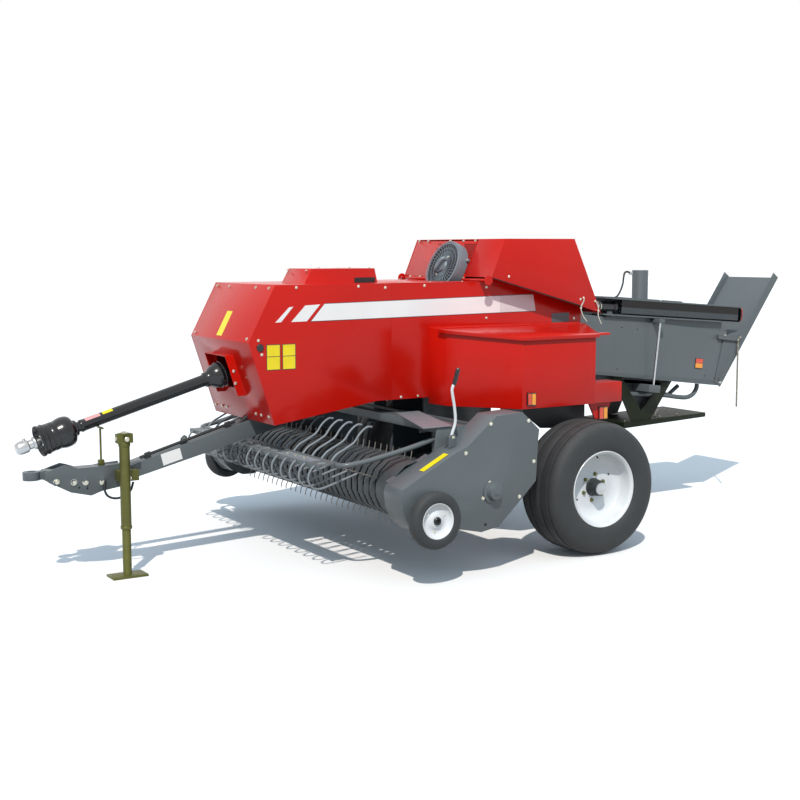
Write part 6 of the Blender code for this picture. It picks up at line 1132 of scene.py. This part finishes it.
@dataclass(frozen=True)
class JackTrim:
    """The parking jack's crank pin, collar bolts and bracket pin."""

    x: float = 2.532
    y: float = 0.155
    half: float = 0.0438

    def build(self) -> None:
        """Makes the small parts that are bolted to the jack's tube and to its foot."""
        made = Form()
        for way in (LEFT, AHEAD):
            made.lathe(mm("0 13, 5.5 13, 7 11"), at(self.x, self.y, 0.767) + way * self.half, way, 20, 1)
        made.bolt(at(self.x, self.y, 0.7950), UP, 0.024, 1)
        for height, collar, sides in ((0.792, "-1 36, 2 36, 3.5 32", 28),
                                      (0.735, "-12 31.5, -10 32.5, 10 32.5, 12 31.5", 32),
                                      (0.275, "-8 30.5, -6 31.8, 6 31.8, 8 30.5", 32)):
            made.lathe(mm(collar), at(self.x, self.y, height), UP, sides, 0)
        made.bolt(at(self.x - 0.029, self.y, 0.545), AHEAD * -1, 0.016, 1)
        made.piece("jack_fittings", "machine", [OLIVE, PLATED], "plated_olive")


@dataclass(frozen=True)
class Chamber:
    """The bale chamber's ram, rods, bolts, reflectors, oil hose and rail ends."""

    rear: tuple[float, float] = (-1.865, 0.815)
    pitch: float = math.radians(6.9)
    rail_pitch: float = math.radians(4.3)
    skin: float = 0.2383
    ram: Outline = mm("-20 0, -20 36, 18 36, 22 31, 200 31, 204 36, 222 36, 226 30, 232 30, 232 12, 330 12, "
                      "330 0")
    lower_rail: Outline = mm("-1050 800, -1355 774, -1500 752, -1590 744, -1650 762, -1682 800, -1688 834")
    end: Outline = mm("-58 58, -34 60, 0 60, 40 56, 56 36, 60 0, 56 -36, 40 -56, 0 -60, -34 -60, -58 -58")
    oil: str = ("-1185 30 1618, -1155 35 1628, -1125 40 1622, -1110 45 1590, -1100 50 1550, -1075 55 1500, "
                "-1040 60 1462, -1000 60 1450")

    def along(self, reach: float, rise: float, y: float) -> Vector:
        """Returns a point by its distance from the rear end, its height over the floor and its width."""
        cosine, sine = math.cos(self.pitch), math.sin(self.pitch)
        return at(self.rear[0] + reach * cosine - rise * sine, y, self.rear[1] + reach * sine + rise * cosine)

    def on_rail(self, reach: float, rise: float, y: float) -> Vector:
        """Returns a point by its distance along the tension rail, its height on the rail and its width."""
        cosine, sine = math.cos(self.rail_pitch), math.sin(self.rail_pitch)
        over = Vector((reach * cosine - rise * sine, 0.0, reach * sine + rise * cosine))
        return self.along(0.0, 0.45, y) + over

    def fittings(self) -> None:
        """Makes the chamber's bolts, its holes as small discs of painted shade, and its reflectors."""
        made = Form()
        for side, out in BOTH:
            y = side * self.skin
            for reach, rise in mm("18 352, 18 30"):
                made.lathe(mm("0 14, 8 14, 10 11"), self.along(reach, rise, y), out, 20, 0)
            # Small discs of painted shade for the holes.
            for reach, rise in mm("170 60, 70 50, 980 50, 980 330, 840 330, 1500 50"):
                made.rod(0.0, 0.0009, 0.0045, self.along(reach, rise, y), out, 12, 1)
            for outline, lift, thickness, slot in (
                (rect(0.202, 0.178, 0.274, 0.108), 0.0, 0.004, 2),
                (rect(0.205, 0.175, 0.271, 0.145), 0.0038, 0.0014, 3),
                (rect(0.205, 0.142, 0.271, 0.111), 0.0038, 0.0014, 4),
            ):
                corners = [self.along(reach, rise, y) + out * lift for reach, rise in outline]
                made.slab(corners, out * thickness, slot)
        made.piece("chamber_fittings", "machine", [PLATED, SHADOW, PLASTIC, RED_LENS, AMBER], "bare_steel")

    def rams(self) -> None:
        """Makes the tension rams, their brackets and rods, and the lower rails."""
        made = Form()
        for side, out in BOTH:
            centre, way = at(-0.66, side * 0.215, 1.412), Vector((-0.995, 0.0, -0.062))
            made.lathe(self.ram, centre, way, 36, 0)
            for reach in (0.062, 0.085):
                made.rod(reach - 0.003, reach + 0.003, 0.0335, centre, way, 28, 1)
            made.plate(side * 0.215, mm("-860 1335, -810 1335, -820 1410, -850 1410"), side * 0.012, 2)
            made.tube([self.along(0.69, rise, 0.0) + out * 0.29 for rise in (-0.035, 0.41)], 0.0088, 16, 3)
            made.tube(curve_through(flat(side * 0.182, self.lower_rail), 6), 0.0155, 16, 2)
        made.piece("tension_rams", "machine", [PLASTIC, PLATED, GREY, STEEL], "black_plastic")

    def rail_ends(self) -> None:
        """Makes the tension rails' caps, their dark sides and the skirts under the chamber, which are painted
        shade, and their bolts.
        """
        made = Form()
        way = Vector((math.cos(self.rail_pitch), 0.0, math.sin(self.rail_pitch)))
        for side, out in BOTH:
            for reach, grow, depth in ((-0.1, 1.0, -0.010), (-0.110, 0.93, -0.006)):
                made.slab([self.on_rail(reach, 0.06 + b * grow, side * (0.202 + a * grow))
                           for a, b in self.end], way * depth, 0)
            made.slab([self.on_rail(-0.1085, 0.06 + b * 0.98, side * (0.2036 + a))
                       for a, b in self.end if a > 0.03], way * -0.005, 1)
            for near, far in ((0.05, 0.655), (0.725, 1.08)):
                foot = [self.along(reach, 0.362, side * 0.225) for reach in (near, far)]
                made.slab(foot + [self.on_rail(reach, 0.0, side * 0.225) for reach in (far, near)],
                          out * 0.004, 3)
            # Two strips of painted shade inside each rail's side channel, darker grey below and near-black
            # above.
            for low, high, slot in ((0.020, 0.060, 4), (0.060, 0.108, 5)):
                made.slab([self.on_rail(reach, rise, side * 0.2626) for reach, rise in
                           rect(-0.070, low, 1.02, high)], out * 0.0008, slot)
            # A skirt of painted shade under the chamber's bottom edge.
            made.slab([self.along(reach, rise, side * 0.150) for reach, rise in
                       rect(0.42, 0.004, 1.80, -0.040)], out * 0.004, 4)
            made.bolts([self.on_rail(reach, 0.1205, side * 0.2) for reach in (0.42, 0.62)],
                       Vector((-way.z, 0.0, way.x)), 0.016, 2)
        made.piece("tension_rail_ends", "machine", [PLASTIC, RED, PLATED, GREY, PAINTED_SHADE_GREY, SHADOW],
                   "black_plastic", bevel=0.0003)

    def build(self) -> None:
        """Makes the bolts and reflectors, the rams, the rail ends and the oil hose."""
        self.fittings()
        self.rams()
        self.rail_ends()
        hose, path = Form(), spots(self.oil)
        hose.tube(curve_through(path, 6), 0.0065, 12, 0)
        hose.rod(-0.012, 0.012, 0.010, path[0], AHEAD, 12, 1)
        hose.piece("oil_hose", "machine", [HOSE, STEEL], "black_plastic")


@dataclass(frozen=True)
class ChuteChain:
    """The chain that holds the folded chute, hanging free from the arm's end."""

    x: float = -2.0096
    y: float = 0.2535
    top: float = 1.1267
    length: float = 0.465
    wire: float = 0.0036
    half: float = 0.0078
    pitch: float = 0.0205
    hook_way: Vector = Vector((-0.8, 0.0, 0.6))
    hook: Outline = mm("-2004 1142, -2014 1152, -2026 1158")

    def build(self) -> None:
        made = Form()
        count = round(self.length / self.pitch)
        step = self.length / count
        width = self.half - self.wire
        straight = max(step / 2 + self.wire - width, 0.001)
        for number in range(count):
            centre = at(self.x, self.y, self.top - step * (number + 0.5))
            turn = AHEAD if number % 2 else LEFT
            ring = []
            for part in range(20):
                angle = math.tau * part / 20
                lift = 0.0 if part % 10 == 0 else math.copysign(straight, math.sin(angle))
                ring.append(centre + turn * width * math.cos(angle) + UP * (lift + width * math.sin(angle)))
            made.tube(ring, self.wire, 8, 0, loop=True)
        chain = made.piece("chute_chain_links", "machine", [CHAIN], "bare_steel", ["chute_chain"])
        made, way = Form(), self.hook_way.normalized()
        for number, centre in enumerate(flat(0.26, self.hook)):
            side = way.cross(LEFT) if number % 2 else LEFT
            ring = []
            for part in range(16):
                angle = math.tau * part / 16
                ring.append(centre + way * 0.0115 * math.sin(angle) + side * 0.0052 * math.cos(angle))
            made.tube(ring, 0.002, 6, 0, loop=True)
        made.piece("chute_chain_hook", "machine", [CHAIN], "bare_steel")


@dataclass(frozen=True)
class PickupTrim:
    """Bolts, hub covers, film, channel and height lever of the pickup."""

    skin: float = 1.2502
    cover_bolts: Outline = mm("872 528, 916 448, 817 446, 613 849, 575 620, 672 432, 867 849, 1030 702")
    hub: Outline = mm("-2 60.5, 10 60.5, 12 57, 14 46, 34 38.5, 40 37, 41.5 34, 41.5 0")
    lever: Outline = mm("1052 775, 1044 800, 1024 860, 1030 940, 1045 1020, 1043 1045, 1031 1070")
    handle: Outline = mm("-4 10, 0 12.5, 12 11.5, 26 13, 44 11.5, 62 13, 80 12, 90 8.5, 93.5 0")
    rest: str = "1150 1031 676.8, 1400 1031 550.3, 1400 1084 550.3, 1150 1084 676.8"
    cheek: Outline = mm("1032 733.5, 1080 720.5, 1080 780, 1066 792, 1040 792, 1030 780")

    def build(self) -> None:
        """Makes the covers' fittings, the channel over the throat and the lever."""
        made = Form()
        for side, out in BOTH:
            y = side * self.skin
            made.bolts(flat(y, self.cover_bolts), out, 0.0165, 0)
            made.lathe(self.hub, at(0.856, y, 0.475), out, 44, 1)
            made.lathe(mm("41 12, 44 12, 45.5 9"), at(0.856, y, 0.475), out, 24, 1)
            # A disc of painted shade for a hole in the end cover.
            made.rod(0.0, 0.0010, 0.0085, at(0.90, y, 0.300), out, 16, 2)
            made.slab(spots(self.rest, side), UP * 0.003, 1)
        way, normal = (Vector(side).normalized() for side in ((0.334, 0.0, -0.169), (0.169, 0.0, 0.334)))
        start = at(1.118, 1.215, 0.6982) + normal * 0.0012
        made.slab([start + way * x - LEFT * y for x, y in rect(0.0, 0.0, 0.175, 0.045)], normal * 0.0008, 3)
        made.piece("pickup_end_fittings", "pickup", [PLATED, GREY, SHADOW, YELLOW_FILM], "bare_steel")
        throat, lever = Form(), Form()
        throat.slab(spots("959 420 826.2, 1192 1080 826.2, 1004 1080 826.2, 800 420 826.2"), UP * 0.004, 0)
        throat.piece("throat_channel", "pickup", [ROD_GREY], "frame_grey", bevel=0.0006)
        lever.tube(curve_through(flat(1.14, self.lever), 5), 0.0082, 14, 0)
        lever.lathe(self.handle, at(1.032, 1.14, 1.062), Vector((-0.028, 0.0, 0.090)).normalized(), 24, 1)
        for y in (1.117, 1.157):
            lever.plate(y, self.cheek, 0.006, 2)
        lever.rod(1.110, 1.170, 0.0055, at(1.052, 0.0, 0.778), LEFT, 12, 3)
        lever.bolt(at(1.052, 1.163, 0.778), LEFT, 0.014, 3)
        lever.piece("height_lever_cranked", "pickup", [WHITE, PLASTIC, GREY, PLATED], "rim_white",
                    ["height_lever"], bevel=0.0006)


@dataclass(frozen=True)
class NeedleTrim:
    """The hooked clip, the filler plates and the bolts of the needle frame."""

    clip: Outline = mm("-1374 560, -1372 600, -1371 622, -1380 645, -1398 661, -1430 660, -1467 652")
    filler: Outline = mm("-985 905, -1365 862, -1245 620, -1165 618")

    def build(self) -> None:
        """Makes the clip, the plates and the bolts."""
        made = Form()
        made.tube(curve_through(flat(0.10, self.clip), 5), 0.0045, 10, 0)
        for side in SIDES.values():
            made.plate(side * 0.150, self.filler, side * 0.004, 1)
            made.bolts([at(x, side * 0.16, 0.607 + (-1.0 - x) * 0.037) for x in (-1.04, -1.20, -1.36, -1.52)],
                       UP, 0.014, 0)
        made.piece("needle_tray_clip", "machine", [PLATED, DARK], "bare_steel")


@dataclass(frozen=True)
class Studio:
    """The floor, the soft lights and the camera at the photograph's angle."""

    yaw: float = math.radians(31.633)
    pitch: float = math.radians(6.505)
    roll: float = math.radians(-0.135)
    eye: tuple[float, float, float] = (4.975, 6.985, 1.782)
    lens: float = 59.2547
    sun: float = 3.2
    sun_colour: tuple[float, float, float] = (1.0, 0.94, 0.87)
    sun_way: tuple[float, float, float] = (-0.50, -0.68, -1.0)
    sky: float = 0.79
    sky_colour: tuple[float, float, float, float] = (0.67, 0.84, 1.0, 1.0)
    floor_reach: float = 60.0

    @staticmethod
    def seen_directly(tree: Tree) -> Socket:
        """Tells rays that show the backdrop from those that only light the machine.

        Args:
            tree: the node tree that the nodes go into.

        Returns:
            A socket that is 1 for camera, mirror and see-through rays and 0 for the rest.
        """
        path = add_node(tree, "ShaderNodeLightPath")
        seen = path.outputs["Is Camera Ray"]
        for kind in ("Is Glossy Ray", "Is Transmission Ray"):
            seen = add_node(tree, "ShaderNodeMath", {"operation": "ADD", "use_clamp": True},
                            {0: seen, 1: path.outputs[kind]}).outputs[0]
        return seen

    @staticmethod
    def link(name: str, data: bpy.types.ID) -> bpy.types.Object:
        """Puts a new object with its data into the scene."""
        made = bpy.data.objects.new(name, data)
        bpy.context.scene.collection.objects.link(made)
        return made

    def floor(self) -> None:
        """Makes a plain pale floor that keeps the shadow and meets a white distance."""
        corners = [Vector((x * self.floor_reach, y * self.floor_reach, 0.0)) for x, y in rect(-1, -1, 1, 1)]
        mesh = bpy.data.meshes.new("floor")
        mesh.from_pydata(corners, [], [(0, 1, 2, 3)])
        matt = bpy.data.materials.new("pale_floor")
        matt.use_nodes = True
        tree = matt.node_tree
        tones = {"data_type": "RGBA", 6: linear("#8A8072"), 7: linear("#F4F4F4")}
        tone = add_node(tree, "ShaderNodeMix", tones, {0: self.seen_directly(tree)})
        shader = tree.nodes["Principled BSDF"]
        shader.inputs["Roughness"].default_value = 0.9
        tree.links.new(tone.outputs[2], shader.inputs["Base Color"])
        mesh.materials.append(matt)
        self.link("floor", mesh)

    def light(self) -> None:
        """Sets a broad high sun and a pale sky, white to the camera, to mirrors and through glass."""
        lamp = bpy.data.lights.new("high_sun", "SUN")
        lamp.energy = self.sun
        lamp.angle = math.radians(0.8)
        lamp.color = self.sun_colour
        self.link("high_sun", lamp).rotation_euler = Vector(self.sun_way).to_track_quat("-Z", "Y").to_euler()
        world = bpy.data.worlds.new("pale_sky")
        world.use_nodes = True
        tree = world.node_tree
        tree.nodes.clear()
        sky = add_node(tree, "ShaderNodeBackground", {"Color": self.sky_colour, "Strength": self.sky})
        blank = add_node(tree, "ShaderNodeBackground", {"Color": (1.0, 1.0, 1.0, 1.0), "Strength": 1.0})
        mixed = add_node(tree, "ShaderNodeMixShader",
                         links={0: self.seen_directly(tree), 1: sky.outputs[0], 2: blank.outputs[0]})
        add_node(tree, "ShaderNodeOutputWorld", links={0: mixed.outputs[0]})
        bpy.context.scene.world = world

    def camera(self) -> None:
        """Sets the camera where the photograph was taken from."""
        level = math.cos(self.pitch)
        way = Vector((-math.sin(self.yaw) * level, -math.cos(self.yaw) * level, -math.sin(self.pitch)))
        right = way.cross(UP).normalized()
        up = right.cross(way)
        turned = right * math.cos(self.roll) + up * math.sin(self.roll)
        raised = up * math.cos(self.roll) - right * math.sin(self.roll)
        lens = bpy.data.cameras.new("photo_view")
        lens.lens = self.lens
        lens.sensor_width = 36.0
        lens.sensor_fit = "HORIZONTAL"
        lens.clip_end = 300.0
        camera = self.link("photo_view", lens)
        facing = Matrix((turned, raised, -way)).transposed().to_4x4()
        camera.matrix_world = Matrix.Translation(at(*self.eye)) @ facing
        bpy.context.scene.camera = camera

    def build(self) -> None:
        """Sets up the floor, the lights, the camera and plain colour handling."""
        self.floor()
        self.light()
        self.camera()
        bpy.context.scene.view_settings.view_transform = "Standard"
        LOG.info("studio is set")


def main() -> None:
    """Builds the scene in order."""
    logging.basicConfig(level=logging.INFO, format="%(levelname)s:%(name)s:%(message)s")
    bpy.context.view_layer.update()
    Studio().build()
    ChuteChain().build()
    SheetAndFrame().dress()
    for label in SIDES:
        for kind in (MainWheel, GaugeWheel, Auger, TwineBoxTrim):
            kind(label).build()
    for kind in (TineReel, WindGuard, DriveShaft, Fan, HoodTrim, KnotterTrim, DrawbarTrim, JackTrim, Chamber,
                 PickupTrim, NeedleTrim):
        kind().build()


if __name__ == "__main__":
    main()
